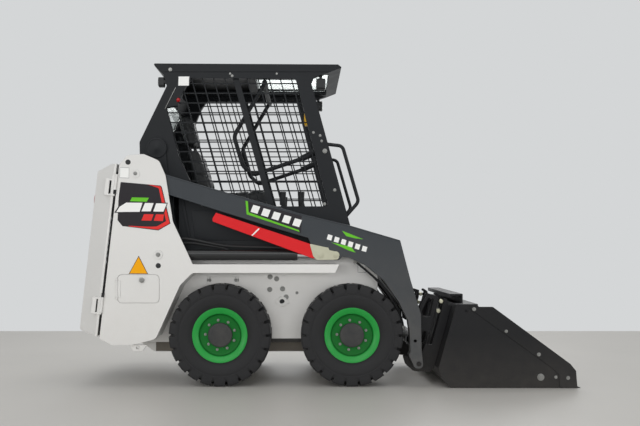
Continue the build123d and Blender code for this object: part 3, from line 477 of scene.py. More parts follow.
def newTree(name, given):
    # a tree of geometry nodes with named inputs: pairs of name and kind of socket
    tree = bpy.data.node_groups.new(name, "GeometryNodeTree")
    face = tree.interface
    for label, kind in [("Geometry", "Geometry"), *given]:
        face.new_socket(label, in_out="INPUT", socket_type="NodeSocket" + kind)
    face.new_socket("Geometry", in_out="OUTPUT", socket_type="NodeSocketGeometry")
    return tree, addNode(tree, "NodeGroupInput").outputs


def endTree(tree, copies, finish):
    solid = addNode(tree, "GeometryNodeRealizeInstances", {0: copies})
    done = addNode(tree, "GeometryNodeSetMaterial", {"Geometry": solid, "Material": finish})
    addNode(tree, "NodeGroupOutput", {0: done})


def ringTree():
    # repeats one item around the y axis
    tree, given = newTree(
        "ringOfItems",
        [("Item", "Object"), ("Count", "Int"), ("First Angle", "Float"), ("Finish", "Material")],
    )
    line = addNode(
        tree,
        "GeometryNodeMeshLine",
        {"Count": given["Count"], "Offset": (0, 0, 0), "Start Location": (0, 0, 0)},
    )
    index = addNode(tree, "GeometryNodeInputIndex")
    pitch = addNode(tree, "ShaderNodeMath", {0: 2 * math.pi, 1: given["Count"]}, operation="DIVIDE")
    angle = addNode(
        tree, "ShaderNodeMath", {0: index, 1: pitch, 2: given["First Angle"]}, operation="MULTIPLY_ADD"
    )
    turn = addNode(tree, "ShaderNodeCombineXYZ", {"Y": angle})
    item = addNode(tree, "GeometryNodeObjectInfo", {"Object": given["Item"]})
    copies = addNode(
        tree,
        "GeometryNodeInstanceOnPoints",
        {"Points": line, "Instance": item.outputs["Geometry"], "Rotation": turn},
    )
    endTree(tree, copies, given["Finish"])
    return tree


def grown(tree, values, start=None):
    # runs a tree on a bare object and gives back its plain mesh
    holder = link(bpy.data.objects.new("holder", start or bpy.data.meshes.new("holder")))
    modifier = holder.modifiers.new("nodes", "NODES")
    modifier.node_group = tree
    for item in tree.interface.items_tree:
        if item.in_out == "INPUT" and item.name in values:
            modifier[item.identifier] = values[item.name]
    graph = bpy.context.evaluated_depsgraph_get()
    mesh = bpy.data.meshes.new_from_object(holder.evaluated_get(graph))
    bpy.data.objects.remove(holder)
    return mesh


ringOfItems = ringTree()
# the tyre's wall from the bead to the lugs: (radius, distance from its middle)
tyreWall = [
    (0.1545, 0.060),
    (0.1545, 0.0815),
    (0.1640, 0.0835),
    (0.1705, 0.0875),
    (0.1760, 0.0925),
    (0.1850, 0.0975),
    (0.1980, 0.1015),
    (0.2140, 0.1040),
    (0.2300, 0.1050),
    (0.2335, 0.1035),
    (0.2370, 0.1050),
    (0.2440, 0.1045),
    (0.2540, 0.1030),
    (0.2650, 0.1005),
    (0.2670, 0.0950),
    (0.2560, 0.0880),
]
# a lug from the middle outwards: (y, bottom radius, top radius, turn, half angle at bottom and top)
lugStations = [
    (-0.0060, 0.250, 0.2950, 3.4, 4.6, 3.9),
    (0.0400, 0.250, 0.2950, 2.0, 5.6, 4.9),
    (0.0850, 0.249, 0.2950, 0.4, 6.6, 6.0),
    (0.0965, 0.248, 0.2930, 0.0, 6.8, 6.2),
    (0.1040, 0.247, 0.2850, 0.0, 6.9, 6.4),
    (0.1070, 0.246, 0.2700, 0.0, 6.9, 6.6),
    (0.1066, 0.244, 0.2500, 0.0, 6.9, 6.8),
]


def lugObject():
    bm = bmesh.new()
    rings = []
    for reach, low, high, turn, lowHalf, highHalf in lugStations:
        ring = []
        for radius, angle in (
            (low, turn - lowHalf),
            (low, turn + lowHalf),
            (high, turn + highHalf),
            (high, turn),
            (high, turn - highHalf),
        ):
            spin = math.radians(angle)
            ring.append(bm.verts.new((radius * math.sin(spin), reach, -radius * math.cos(spin))))
        rings.append(ring)
    for first, second in zip(rings, rings[1:]):
        for index in range(5):
            after = (index + 1) % 5
            bm.faces.new((first[index], first[after], second[after], second[index]))
    bm.faces.new(rings[0][::-1])
    bm.faces.new(rings[-1])
    bmesh.ops.recalc_face_normals(bm, faces=bm.faces)
    roundEdges(bm, 0.0022, 2, 35)
    mesh = bpy.data.meshes.new("lug")
    bm.to_mesh(mesh)
    bm.free()
    return link(bpy.data.objects.new("lug", mesh))


def tyreMesh(settings):
    lug = lugObject()
    pitch = 2 * math.pi / settings["lugCount"]
    bm = bmesh.new()
    carcass = tyreWall + [(radius, -reach) for radius, reach in tyreWall[::-1]]
    addLathe(bm, carcass + [carcass[0]], Vector((0, 0, 0)), 1, 110)
    for side in (1, -1):
        values = {
            "Item": lug,
            "Count": settings["lugCount"],
            "First Angle": 0.0 if side > 0 else pitch / 2,
            "Finish": tyreRubber,
        }
        ring = grown(ringOfItems, values)
        if side < 0:
            ring.transform(Matrix.Scale(-1, 4, (0, 1, 0)))
            ring.flip_normals()
        bm.from_mesh(ring)
    bmesh.ops.remove_doubles(bm, verts=bm.verts, dist=1e-6)
    bmesh.ops.recalc_face_normals(bm, faces=bm.faces)
    mesh = bpy.data.meshes.new("tyre")
    bm.to_mesh(mesh)
    bm.free()
    bpy.data.objects.remove(lug)
    return mesh


# the rim's visible profile: (radius, distance from the machine's middle)
rimProfile = [
    (0.0, 0.5128),
    (0.0600, 0.5128),
    (0.0670, 0.5118),
    (0.0700, 0.5090),
    (0.0710, 0.5050),
    (0.0712, 0.4892),
    (0.1060, 0.4892),
    (0.1130, 0.4900),
    (0.1190, 0.4935),
    (0.1215, 0.4990),
    (0.1240, 0.5105),
    (0.1275, 0.5140),
    (0.1375, 0.5168),
    (0.1400, 0.5185),
    (0.1490, 0.5205),
    (0.1550, 0.5222),
    (0.1590, 0.5215),
    (0.1598, 0.5190),
    (0.1580, 0.5165),
    (0.1512, 0.5155),
    (0.1512, 0.3500),
    (0.0, 0.3500),
]


# the sunken disc inside the rim, a hair in front of it, which carries the painted shade of the dish
dishProfile = [
    (0.0705, 0.4880),
    (0.0705, 0.4896),
    (0.1060, 0.4896),
    (0.1132, 0.4904),
    (0.1188, 0.4938),
    (0.1212, 0.4992),
    (0.1222, 0.5040),
    (0.1228, 0.5038),
    (0.1222, 0.4980),
    (0.1130, 0.4880),
    (0.0705, 0.4880),
]


def nutObject():
    bm = bmesh.new()
    addRod(bm, (0, 0, 0), (0, 0.0045, 0), 0.0082, 24)
    addRod(bm, (0, 0.004, 0), (0, 0.0105, 0), 0.0068, 6)
    addRod(bm, (0, 0.010, 0), (0, 0.0155, 0), 0.0036, 16)
    bmesh.ops.translate(bm, vec=(0, 0, wheelSettings["nutCircle"]), verts=bm.verts)
    mesh = bpy.data.meshes.new("nut")
    bm.to_mesh(mesh)
    bm.free()
    return link(bpy.data.objects.new("nut", mesh))


def addWheels(settings):
    tyre = tyreMesh(settings)
    nut = nutObject()
    halfTurn = Matrix.Rotation(math.radians(180), 4, "Z")
    for place in ("rear", "front"):
        for word, outward in sides.items():
            wheel = f"{place}_{word.lower()}"
            body = "wheel_" + wheel
            pivot = Vector(joints[body]["pos_m"])
            centre = Vector((pivot.x, 0, pivot.z))
            tag = place.capitalize() + word

            mesh = tyre.copy()
            if outward > 0:
                mesh.transform(halfTurn)
            mesh.transform(Matrix.Translation(pivot) @ halfTurn)
            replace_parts(finishPiece("tyre" + tag, mesh, tyreRubber, body, 30), "tyre_" + wheel)

            bm = bmesh.new()
            addLathe(bm, rimProfile[5:], centre, outward, 110)
            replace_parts(pieceFrom("rim" + tag, bm, wheelEnamel, body, 35), "rim_" + wheel)

            bm = bmesh.new()
            addLathe(bm, dishProfile, centre, outward, 110)
            # a darker copy of the disc in front of the rim's own: painted shade
            pieceFrom("wheelDish" + tag, bm, dishShadeEnamel, body, 35)

            bm = bmesh.new()
            addLathe(bm, rimProfile[:6] + [(0.0, rimProfile[5][1])], centre, outward, 72)
            circle = settings["capBoltCircle"]
            for turn in settings["capBoltTurns"]:
                spin = math.radians(turn)
                spot = centre + Vector(
                    (circle * math.cos(spin), outward * settings["capFace"], circle * math.sin(spin))
                )
                addRod(bm, spot, spot + Vector((0, outward * 0.0015, 0)), 0.004, 16)
            pieceFrom("hubCap" + tag, bm, hubEnamel, body, 35)

            values = {
                "Item": nut,
                "Count": settings["nutCount"],
                "First Angle": math.radians(settings["nutTurn"]),
                "Finish": boltSteel,
            }
            nuts = grown(ringOfItems, values)
            if outward < 0:
                nuts.transform(halfTurn)
            nuts.transform(Matrix.Translation((pivot.x, outward * settings["nutFace"], pivot.z)))
            finishPiece("wheelNuts" + tag, nuts, boltSteel, body, 30)
    bpy.data.objects.remove(nut)


addWheels(wheelSettings)
print("wheels made")


def fastenerTree():
    # a bolt head with its washer on every point, facing the way its attribute says
    tree, given = newTree(
        "fastenersOnPoints",
        [
            ("Head Radius", "Float"),
            ("Head Height", "Float"),
            ("Head Sides", "Int"),
            ("Washer Radius", "Float"),
            ("Washer Height", "Float"),
            ("Finish", "Material"),
        ],
    )
    washer = addNode(
        tree,
        "GeometryNodeMeshCylinder",
        {"Vertices": 24, "Radius": given["Washer Radius"], "Depth": given["Washer Height"]},
    )
    head = addNode(
        tree,
        "GeometryNodeMeshCylinder",
        {"Vertices": given["Head Sides"], "Radius": given["Head Radius"], "Depth": given["Head Height"]},
    )
    lift = addNode(tree, "ShaderNodeMath", {0: given["Head Height"], 1: 0.5}, operation="MULTIPLY")
    rise = addNode(tree, "ShaderNodeCombineXYZ", {"Z": lift})
    raised = addNode(tree, "GeometryNodeTransform", {"Geometry": head, "Translation": rise})
    whole = addNode(tree, "GeometryNodeJoinGeometry")
    tree.links.new(washer.outputs[0], whole.inputs[0])
    tree.links.new(raised.outputs[0], whole.inputs[0])
    facing = addNode(
        tree, "GeometryNodeInputNamedAttribute", {"Name": "facing"}, data_type="FLOAT_VECTOR"
    )
    size = addNode(tree, "GeometryNodeInputNamedAttribute", {"Name": "size"}, data_type="FLOAT")
    turn = addNode(tree, "FunctionNodeAlignRotationToVector", {"Vector": facing}, axis="Z")
    copies = addNode(
        tree,
        "GeometryNodeInstanceOnPoints",
        {"Points": given["Geometry"], "Instance": whole, "Rotation": turn, "Scale": size},
    )
    endTree(tree, copies, given["Finish"])
    return tree


fastenersOnPoints = fastenerTree()
# a bolt of size 10; the others are scaled from it
boltSettings = {
    "Head Radius": 0.010,
    "Head Height": 0.007,
    "Head Sides": 6,
    "Washer Radius": 0.0155,
    "Washer Height": 0.0025,
}


def addFasteners(name, body, spots, material):
    # spots: (x, y, z, facing, size) with the size as the head's radius in millimetres
    points = bpy.data.meshes.new(name)
    points.from_pydata([spot[:3] for spot in spots], [], [])
    points.attributes.new("facing", "FLOAT_VECTOR", "POINT")
    points.attributes.new("size", "FLOAT", "POINT")
    for index, spot in enumerate(spots):
        points.attributes["facing"].data[index].vector = spot[3]
        points.attributes["size"].data[index].value = spot[4] / 10
    mesh = grown(fastenersOnPoints, {**boltSettings, "Finish": material}, points)
    finishPiece(name, mesh, material, body, 30)


# body, finish, then (x, distance from the middle, z, size) of each bolt, the same on both sides
boltSets = {
    "frameBolts": ("chassis", boltSteel, [
        (-0.698, 0.3135, 0.607, 11), (-0.541, 0.3135, 0.607, 11), (-0.336, 0.3105, 0.626, 10),
        (-0.297, 0.3105, 0.614, 10), (-0.338, 0.3105, 0.550, 10), (-0.261, 0.3105, 0.554, 10),
        (-0.240, 0.3105, 0.505, 10), (-0.175, 0.3105, 0.530, 6),
    ]),
    "pinBolts": ("chassis", boltSteel, [
        (-1.101, 0.5445, 1.226, 7), (-0.9695, 0.5445, 0.760, 8),
    ]),
    "propBolts": ("lift_arm", zincPlate, [
        (-0.038, 0.5355, 0.758, 11), (0.050, 0.5355, 0.758, 9),
    ]),
    "cheekBolts": ("bucket", boltSteel, [
        (0.836, 0.5746, 0.450, 7), (1.019, 0.5746, 0.324, 6), (1.205, 0.5746, 0.192, 7),
        (1.303, 0.5706, 0.062, 6), (1.372, 0.5746, 0.058, 7), (1.217, 0.5706, 0.062, 13),
    ]),
    "cabBolts": ("cab", boltSteel, [
        (-0.919, 0.4203, 1.848, 7), (-0.567, 0.4203, 1.824, 4), (-0.555, 0.4203, 1.811, 5),
        (-0.293, 0.4203, 1.824, 4), (-0.077, 0.4203, 1.478, 5), (-0.038, 0.4203, 1.460, 5),
        (-0.029, 0.4203, 1.428, 5), (-0.010, 0.4203, 1.369, 9), (0.048, 0.4203, 1.140, 6),
        (-0.012, 0.4203, 1.058, 6), (-0.742, 0.4203, 0.893, 4),
    ]),
}
for setName, (body, finish, bolts) in boltSets.items():
    spots = [
        (x, outward * y, z, (0, outward, 0), size) for x, y, z, size in bolts for outward in (right, left)
    ]
    addFasteners(setName, body, spots, finish)
print("fasteners made")

filmThickness = 0.0006
uprightFace = 0.538
armFace = 0.522


def addFilm(name, corners, face, layer, material, body, onlyRight=False):
    # a thin film on a side face, stacked by layer so that no two lie in one plane
    for word, outward in sides.items():
        if onlyRight and outward == left:
            continue
        bm = bmesh.new()
        low = face + 0.0001 + layer * filmThickness
        addPrism(bm, corners, outward * low, outward * (low + filmThickness))
        pieceFrom(name + word, bm, material, body)


panelEdge = [
    (-1.181, 1.177), (-0.956, 1.157), (-0.949, 1.149), (-0.899, 0.939), (-0.969, 0.899),
    (-1.175, 0.924), (-1.203, 0.958), (-1.197, 1.088), (-1.186, 1.174),
]
panelRedSide = [
    (-1.030, 1.163), (-0.958, 1.153), (-0.953, 1.146), (-0.904, 0.940), (-0.970, 0.904),
    (-1.141, 0.923), (-1.138, 0.926), (-1.030, 0.921), (-0.978, 0.922), (-0.924, 0.953),
    (-0.936, 1.002), (-0.966, 1.138), (-0.972, 1.144),
]
panelGreenBar = [(-1.120, 1.089), (-1.023, 1.087), (-1.035, 1.064), (-1.131, 1.067)]
panelBacking = [
    (-1.152, 1.064), (-0.915, 1.058), (-0.934, 1.001), (-1.222, 1.001), (-1.197, 1.038),
]
panelWhiteBars = [
    [(-1.153, 1.059), (-1.060, 1.058), (-1.076, 1.006), (-1.210, 1.005), (-1.191, 1.035)],
    [(-1.045, 1.057), (-0.996, 1.056), (-1.013, 1.009), (-1.066, 1.009)],
    [(-0.981, 1.055), (-0.920, 1.053), (-0.940, 1.007), (-0.998, 1.008)],
]
panelRedBars = [
    [(-1.051, 0.993), (-0.996, 0.992), (-1.009, 0.956), (-1.066, 0.956)],
    [(-0.982, 0.992), (-0.937, 0.991), (-0.942, 0.953), (-0.995, 0.955)],
]
addFilm("panelGround", panelEdge, uprightFace, 0, filmCharcoal, "chassis")
addFilm("panelRedEdge", panelRedSide, uprightFace, 1, filmRed, "chassis")
addFilm("panelGreenBar", panelGreenBar, uprightFace, 1, filmGreen, "chassis")
addFilm("panelBacking", panelBacking, uprightFace, 2, filmCharcoal, "chassis")
for index, corners in enumerate(panelRedBars):
    addFilm(f"panelRedBar{index}", corners, uprightFace, 1, filmRed, "chassis")
for index, corners in enumerate(panelWhiteBars):
    addFilm(f"panelWhiteBar{index}", corners, uprightFace, 3, filmWhite, "chassis")
triangle = [(-1.082, 0.754), (-1.028, 0.649), (-1.139, 0.650)]
triangleInner = [(-1.082, 0.747), (-1.033, 0.652), (-1.134, 0.653)]
addFilm("signEdge", triangle, uprightFace, 0, filmCharcoal, "chassis", True)
addFilm("signFace", triangleInner, uprightFace, 1, filmYellow, "chassis", True)
labelSpots = {
    "labelUpright": (
        [(-1.190, 1.262), (-1.136, 1.260), (-1.137, 1.199), (-1.192, 1.201)], 0.538, "chassis",
    ),
    "labelCab": ([(-0.871, 1.808), (-0.806, 1.808), (-0.808, 1.752), (-0.873, 1.752)], 0.420, "cab"),
}
for name, (corners, face, body) in labelSpots.items():
    middle = [sum(values) / len(corners) for values in zip(*corners)]
    inset = [(x + (middle[0] - x) * 0.07, z + (middle[1] - z) * 0.07) for x, z in corners]
    addFilm(name + "Edge", corners, face, 0, filmGrey, body, True)
    addFilm(name, inset, face, 1, filmWhite, body, True)

armPanel = [(-0.473, 1.072), (-0.146, 0.983), (-0.150, 0.884), (-0.463, 0.993)]
armPanelLine = [
    (-0.470, 1.071), (-0.456, 1.067), (-0.452, 1.004), (-0.163, 0.902), (-0.158, 0.891),
    (-0.463, 0.993),
]
armBars = [
    [(x, 1.052 - (x + 0.44) * 0.32), (x + 0.040, 1.041 - (x + 0.44) * 0.32),
     (x + 0.024, 1.000 - (x + 0.44) * 0.32), (x - 0.016, 1.012 - (x + 0.44) * 0.32)]
    for x in (-0.425, -0.365, -0.305, -0.245, -0.185)
]
addFilm("armPanel", armPanel, armFace, 0, filmCharcoal, "lift_arm")
addFilm("armPanelLine", armPanelLine, armFace, 1, filmGreen, "lift_arm")
for index, corners in enumerate(armBars):
    addFilm(f"armPanelBar{index}", corners, armFace, 1, filmWhite, "lift_arm")
greenFlashes = [
    [(0.086, 0.898), (0.209, 0.849), (0.164, 0.854), (0.110, 0.867)],
    [(0.024, 0.831), (0.137, 0.806), (0.164, 0.772), (0.123, 0.785)],
]
for index, corners in enumerate(greenFlashes):
    addFilm(f"armFlash{index}", corners, armFace, 0, filmGreen, "lift_arm")
flashBars = [
    [(x, 0.880 - x * 0.33), (x + 0.026, 0.872 - x * 0.33),
     (x + 0.018, 0.843 - x * 0.33), (x - 0.008, 0.851 - x * 0.33)]
    for x in (0.006, 0.046, 0.086, 0.126, 0.166, 0.206)
]
for index, corners in enumerate(flashBars):
    addFilm(f"armFlashBar{index}", corners, armFace, 1, filmWhite, "lift_arm")
print("panels made")


def addTurned(name, places, profile, material):
    # turned pieces standing out sideways at (x, distance, z), on both sides
    bm = bmesh.new()
    for x, reach, z in places:
        for outward in (right, left):
            addLathe(bm, profile, Vector((x, outward * reach, z)), outward, 48)
    return pieceFrom(name, bm, material, "chassis", 35)


pinSettings = {
    "arm": (-1.101, 1.226),
    "liftBase": (-0.9695, 0.760),
    "cab": (-0.997, 1.385),
    "holes": [(-1.143, 1.2915), (-0.9695, 0.697)],
    "inside": 0.426,
}


def addPins(settings):
    armX, armZ = settings["arm"]
    liftX, liftZ = settings["liftBase"]
    cabX, cabZ = settings["cab"]
    inside = settings["inside"]
    capProfile = [
        (0.0, -0.010), (0.020, -0.010), (0.020, 0.000), (0.0262, 0.0002), (0.0262, 0.0034),
        (0.0250, 0.0044), (0.0160, 0.0044), (0.0150, 0.0036), (0.0, 0.0036),
    ]
    ends = [(armX, uprightFace, armZ), (liftX, uprightFace, liftZ)]
    caps = addTurned("pinCaps", ends, capProfile, whitePowderCoat)
    shaft = [(0.0, 0), (0.0198, 0), (0.0198, 0.105), (0.0, 0.105)]
    shafts = addTurned("pinShafts", [(armX, inside, armZ)], shaft, boltSteel)
    shaft = [(0.0, 0), (0.0148, 0), (0.0148, 0.105), (0.0, 0.105)]
    liftShafts = addTurned("liftPinShafts", [(liftX, inside, liftZ)], shaft, boltSteel)
    discProfile = [
        (0.0, -0.048), (0.0218, -0.048), (0.0218, 0.0002), (0.0600, 0.0002), (0.0600, 0.0040),
        (0.0585, 0.0050), (0.0520, 0.0050), (0.0510, 0.0040), (0.0180, 0.0040), (0.0165, 0.0050),
        (0.0, 0.0050),
    ]
    discs = addTurned("cabPivotDiscs", [(cabX, 0.433, cabZ)], discProfile, cabPowderCoat)
    for piece in (caps, shafts, liftShafts, discs):
        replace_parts(piece, "frame_pins")
    plug = [(0.0, -0.003), (0.0150, -0.003), (0.0150, 0.0006), (0.0120, 0.0012), (0.0, 0.0010)]
    addTurned("frameHolePlugs", [(x, uprightFace, z) for x, z in settings["holes"]], plug, nylonBlack)
    plug = [(0.0, -0.003), (0.021, -0.003), (0.021, 0.0020), (0.017, 0.0034), (0.0, 0.0034)]
    addTurned("tubPlugs", [(-0.268, 0.3102, 0.487)], plug, nylonBlack)


addPins(pinSettings)
print("pins made")

hingeSettings = {
    "boxes": [(-1.2445, 1.148), (-1.3200, 0.4685)],
    "size": (0.060, 0.096),
    "wall": 0.005,
    "depth": (0.470, 0.5455),
    "slot": (0.013, 0.076),
}


def addHinges(settings):
    # folded housings over the tailgate's hinge pins, with a slot in the outer face
    wide, tall = settings["size"]
    wall = settings["wall"]
    inner, outer = settings["depth"]
    slotWide, slotTall = settings["slot"]
    bm = bmesh.new()
    dark = bmesh.new()
    for x, z in settings["boxes"]:
        lean = Matrix.Rotation(math.radians(6.5), 4, "Y")
        about = Matrix.Translation((x, 0, z)) @ lean @ Matrix.Translation((-x, 0, -z))
        bars = [
            ((x - wide / 2, z - tall / 2), (x - slotWide / 2, z + tall / 2)),
            ((x + slotWide / 2, z - tall / 2), (x + wide / 2, z + tall / 2)),
            ((x - slotWide / 2, z - tall / 2), (x + slotWide / 2, z - slotTall / 2)),
            ((x - slotWide / 2, z + slotTall / 2), (x + slotWide / 2, z + tall / 2)),
        ]
        for (lowX, lowZ), (highX, highZ) in bars:
            corners = [(lowX, lowZ), (highX, lowZ), (highX, highZ), (lowX, highZ)]
            addPrism(bm, corners, -outer, -outer + wall, about)
        for level in (z - tall / 2, z + tall / 2 - wall):
            corners = [
                (x - wide / 2, level), (x + wide / 2, level), (x + wide / 2, level + wall),
                (x - wide / 2, level + wall),
            ]
            addPrism(bm, corners, -outer + wall, -inner, about)
        corners = [
            (x - wide / 2 + wall, z - tall / 2 + wall), (x + wide / 2 - wall, z - tall / 2 + wall),
            (x + wide / 2 - wall, z + tall / 2 - wall), (x - wide / 2 + wall, z + tall / 2 - wall),
        ]
        addPrism(dark, corners, -outer + 0.018, -outer + 0.022, about)
    pieceFrom("hingeHousings", bm, whitePowderCoat, "tailgate")
    pieceFrom("hingeShadows", dark, frameEnamelAndShadow, "tailgate")


addHinges(hingeSettings)
lockSettings = {
    "place": (-1.0635, -0.5475, 0.6150),
    "profile": [
        (0.0, -0.002), (0.0155, -0.002), (0.0155, 0.0016), (0.0140, 0.0026), (0.0060, 0.0026),
        (0.0055, 0.0018), (0.0, 0.0018),
    ],
}
bm = bmesh.new()
addLathe(bm, lockSettings["profile"], Vector(lockSettings["place"]), right, 48)
pieceFrom("hatchLock", bm, boltSteel, "charge_hatch", 35)
print("hinges made")

# thin plates that stand proud of a side face: face, thickness, body, finish and corners
plateSettings = {
    "coverPlate": (0.3102, 0.003, "chassis", whitePowderCoat, [
        (-0.714, 0.585), (-0.527, 0.585), (-0.527, 0.629), (-0.714, 0.629),
    ]),
    "cabSidePanel": (0.4201, 0.004, "cab", cabPowderCoat, [
        (-0.795, 1.018), (-0.240, 1.018), (-0.300, 0.843), (-0.772, 0.843),
    ]),
    # a black strip along the tub's bottom edge between the wheels: painted shadow
    "sillRail": (0.3101, 0.003, "chassis", frameEnamelAndShadow, [
        (-0.900, 0.2355), (0.300, 0.2355), (0.300, 0.2560), (-0.900, 0.2560),
    ]),
    # a dark sheet on the white belly pan's side: painted shade
    "bellySkin": (0.2001, 0.003, "chassis", bellyShadePaint, [
        (-1.040, 0.168), (0.196, 0.168), (0.196, 0.2340), (-1.040, 0.2340),
    ]),
    "tubPanelEdge": (0.3101, 0.0008, "chassis", filmGrey, [
        (0.190, 0.652), (0.240, 0.652), (0.240, 0.710), (0.190, 0.710),
    ]),
    "tubPanelFace": (0.3109, 0.0008, "chassis", filmWhite, [
        (0.1925, 0.6545), (0.2375, 0.6545), (0.2375, 0.7075), (0.1925, 0.7075),
    ]),
    "cabRearRib": (0.4201, 0.010, "cab", cabPowderCoat, [
        (-0.862, 1.118), (-0.845, 1.118), (-0.795, 0.845), (-0.812, 0.845),
    ]),
    # a bright steel strip along the seam of the cab's rear post: painted highlight of the seam's edge
    "rearPostSeam": (0.4201, 0.0025, "cab", boltSteel, [
        (-0.889, 1.742), (-0.886, 1.741), (-0.948, 1.617), (-0.951, 1.618),
    ]),
    "roofSeam": (0.4201, 0.0015, "cab", cabPowderCoat, [
        (-0.952, 1.8345), (0.015, 1.8345), (0.015, 1.8370), (-0.952, 1.8370),
    ]),
    "propClip": (0.5252, 0.002, "arm_prop", filmWhite, [
        (-0.436, 0.872), (-0.429, 0.868), (-0.388, 0.908), (-0.395, 0.912),
    ]),
}


def addPlates(settings):
    for name, (face, thickness, body, finish, corners) in settings.items():
        bm = bmesh.new()
        for outward in (right, left):
            addPrism(bm, corners, outward * face, outward * (face + thickness))
        bmesh.ops.recalc_face_normals(bm, faces=bm.faces)
        roundEdges(bm, min(0.0012, thickness / 3), 2, 50)
        pieceFrom(name, bm, finish, body, 35)


addPlates(plateSettings)
print("plates made")

# rounded weld seams along the arm's long edges, which catch the light
armEdges = {
    "radius": 0.0045,
    "face": 0.5195,
    "drop": 0.002,
    "upper": [
        (-1.050, 1.2790), (-0.925, 1.2180), (-0.686, 1.1470), (-0.330, 1.0450), (-0.144, 0.9920),
        (0.128, 0.9270), (0.414, 0.8430),
    ],
    "lower": [
        (-1.060, 1.1750), (-0.909, 1.1105), (-0.629, 1.0205), (-0.330, 0.9275), (-0.112, 0.8630),
    ],
}


def addArmEdges(settings):
    bm = bmesh.new()
    for line in ("upper", "lower"):
        for outward in (right, left):
            places = [(x, outward * settings["face"], z - settings["drop"]) for x, z in settings[line]]
            for start, end in zip(places, places[1:]):
                addRod(bm, start, end, settings["radius"], 12)
    pieceFrom("armWelds", bm, armPowderCoat, "lift_arm", 40)


addArmEdges(armEdges)

# hoses and tubes: radius, what each is fixed to, and the points of its run
lineSettings = {
    "liftHoseUpper": (0.0075, "lift_barrel", [
        (-0.905, 0.478, 0.835), (-0.860, 0.478, 0.856), (-0.780, 0.478, 0.850), (-0.640, 0.478, 0.818),
        (-0.540, 0.478, 0.806), (-0.400, 0.478, 0.804), (-0.262, 0.478, 0.802), (-0.235, 0.478, 0.794),
    ]),
    "liftHoseLower": (0.0075, "lift_barrel", [
        (-0.905, 0.468, 0.800), (-0.860, 0.468, 0.826), (-0.780, 0.468, 0.830), (-0.680, 0.468, 0.812),
        (-0.600, 0.468, 0.800), (-0.575, 0.470, 0.788),
    ]),
    "armTubeOuter": (0.0065, "lift_arm", [
        (0.170, 0.436, 0.718), (0.230, 0.436, 0.670), (0.318, 0.436, 0.590), (0.392, 0.436, 0.484),
        (0.444, 0.436, 0.385), (0.449, 0.436, 0.330),
    ]),
}
blockSettings = {
    "places": [(0.168, 0.722), (0.449, 0.332)],
    "face": 0.4385,
    "size": (0.022, 0.0105, 0.022),
}


def addLines(settings):
    for name, (radius, body, points) in settings.items():
        for word, outward in sides.items():
            places = [(x, outward * y, z) for x, y, z in points]
            finishPiece(name + word, tubeMesh(name + word, places, radius), hoseRubber, body, 40)


def addTubeBlocks(settings):
    bm = bmesh.new()
    for outward in (right, left):
        for x, z in settings["places"]:
            addBox(bm, (x, outward * settings["face"], z), settings["size"])
    roundEdges(bm, 0.002)
    pieceFrom("tubeBlocks", bm, boltSteel, "lift_arm", 35)


addLines(lineSettings)
addTubeBlocks(blockSettings)
print("lines made")

# fittings inside and on the cab
fittingSettings = {
    "stopButton": (-0.112, -0.3345, 1.552),
    "stopProfile": [
        (0.0, 0.0), (0.011, 0.0), (0.011, 0.010), (0.017, 0.012), (0.017, 0.020), (0.013, 0.024),
        (0.0, 0.025),
    ],
    "marker": (-0.872, -0.4202, 1.669),
    "markerProfile": [
        (0.0, 0.0), (0.012, 0.0), (0.012, 0.004), (0.0095, 0.010), (0.0055, 0.0135), (0.0, 0.0145),
    ],
    "bootPlaces": [(-0.180, -0.250), (-0.180, 0.250), (-0.292, -0.250), (-0.292, 0.250)],
    "bootFloor": 0.8125,
    "bootFolds": 5,
}


def addCabFittings(settings):
    bm = bmesh.new()
    addLathe(bm, settings["stopProfile"], Vector(settings["stopButton"]), left, 32)
    pieceFrom("stopButton", bm, switchRed, "cab", 40)
    bm = bmesh.new()
    addLathe(bm, settings["markerProfile"], Vector(settings["marker"]), right, 32)
    pieceFrom("markerLamp", bm, redLens, "cab", 50)


def addLeverBoots(settings):
    # folded rubber boots where the levers pass the floor
    profile = [(0.036, 0.0), (0.036, 0.006)]
    for fold in range(settings["bootFolds"]):
        profile.append((0.031 - fold * 0.0045, 0.010 + fold * 0.012))
        profile.append((0.034 - fold * 0.0045, 0.016 + fold * 0.012))
    profile += [(0.010, 0.072), (0.010, 0.076), (0.0092, 0.076)]
    angles = [2 * math.pi * step / 32 for step in range(32)]
    bm = bmesh.new()
    for x, y in settings["bootPlaces"]:
        rings = []
        for radius, rise in profile:
            height = settings["bootFloor"] + rise
            rings.append([
                bm.verts.new((x + radius * math.cos(angle), y + radius * math.sin(angle), height))
                for angle in angles
            ])
        for first, second in zip(rings, rings[1:]):
            for step in range(32):
                after = (step + 1) % 32
                bm.faces.new((first[step], first[after], second[after], second[step]))
        bm.faces.new(rings[0][::-1])
        bm.faces.new(rings[-1])
    pieceFrom("leverBoots", bm, hoseRubber, "cab", 30)


addCabFittings(fittingSettings)
addLeverBoots(fittingSettings)

# lenses of the work lamps: ribbed glass in a black bezel, facing forward or back
lampSettings = {
    "frontLens": {"face": -0.0078, "facing": 1, "centre": (0.385, 1.767), "half": (0.024, 0.024)},
    "rearLens": {"face": -0.9906, "facing": -1, "centre": (0.385, 1.779), "half": (0.024, 0.021)},
}


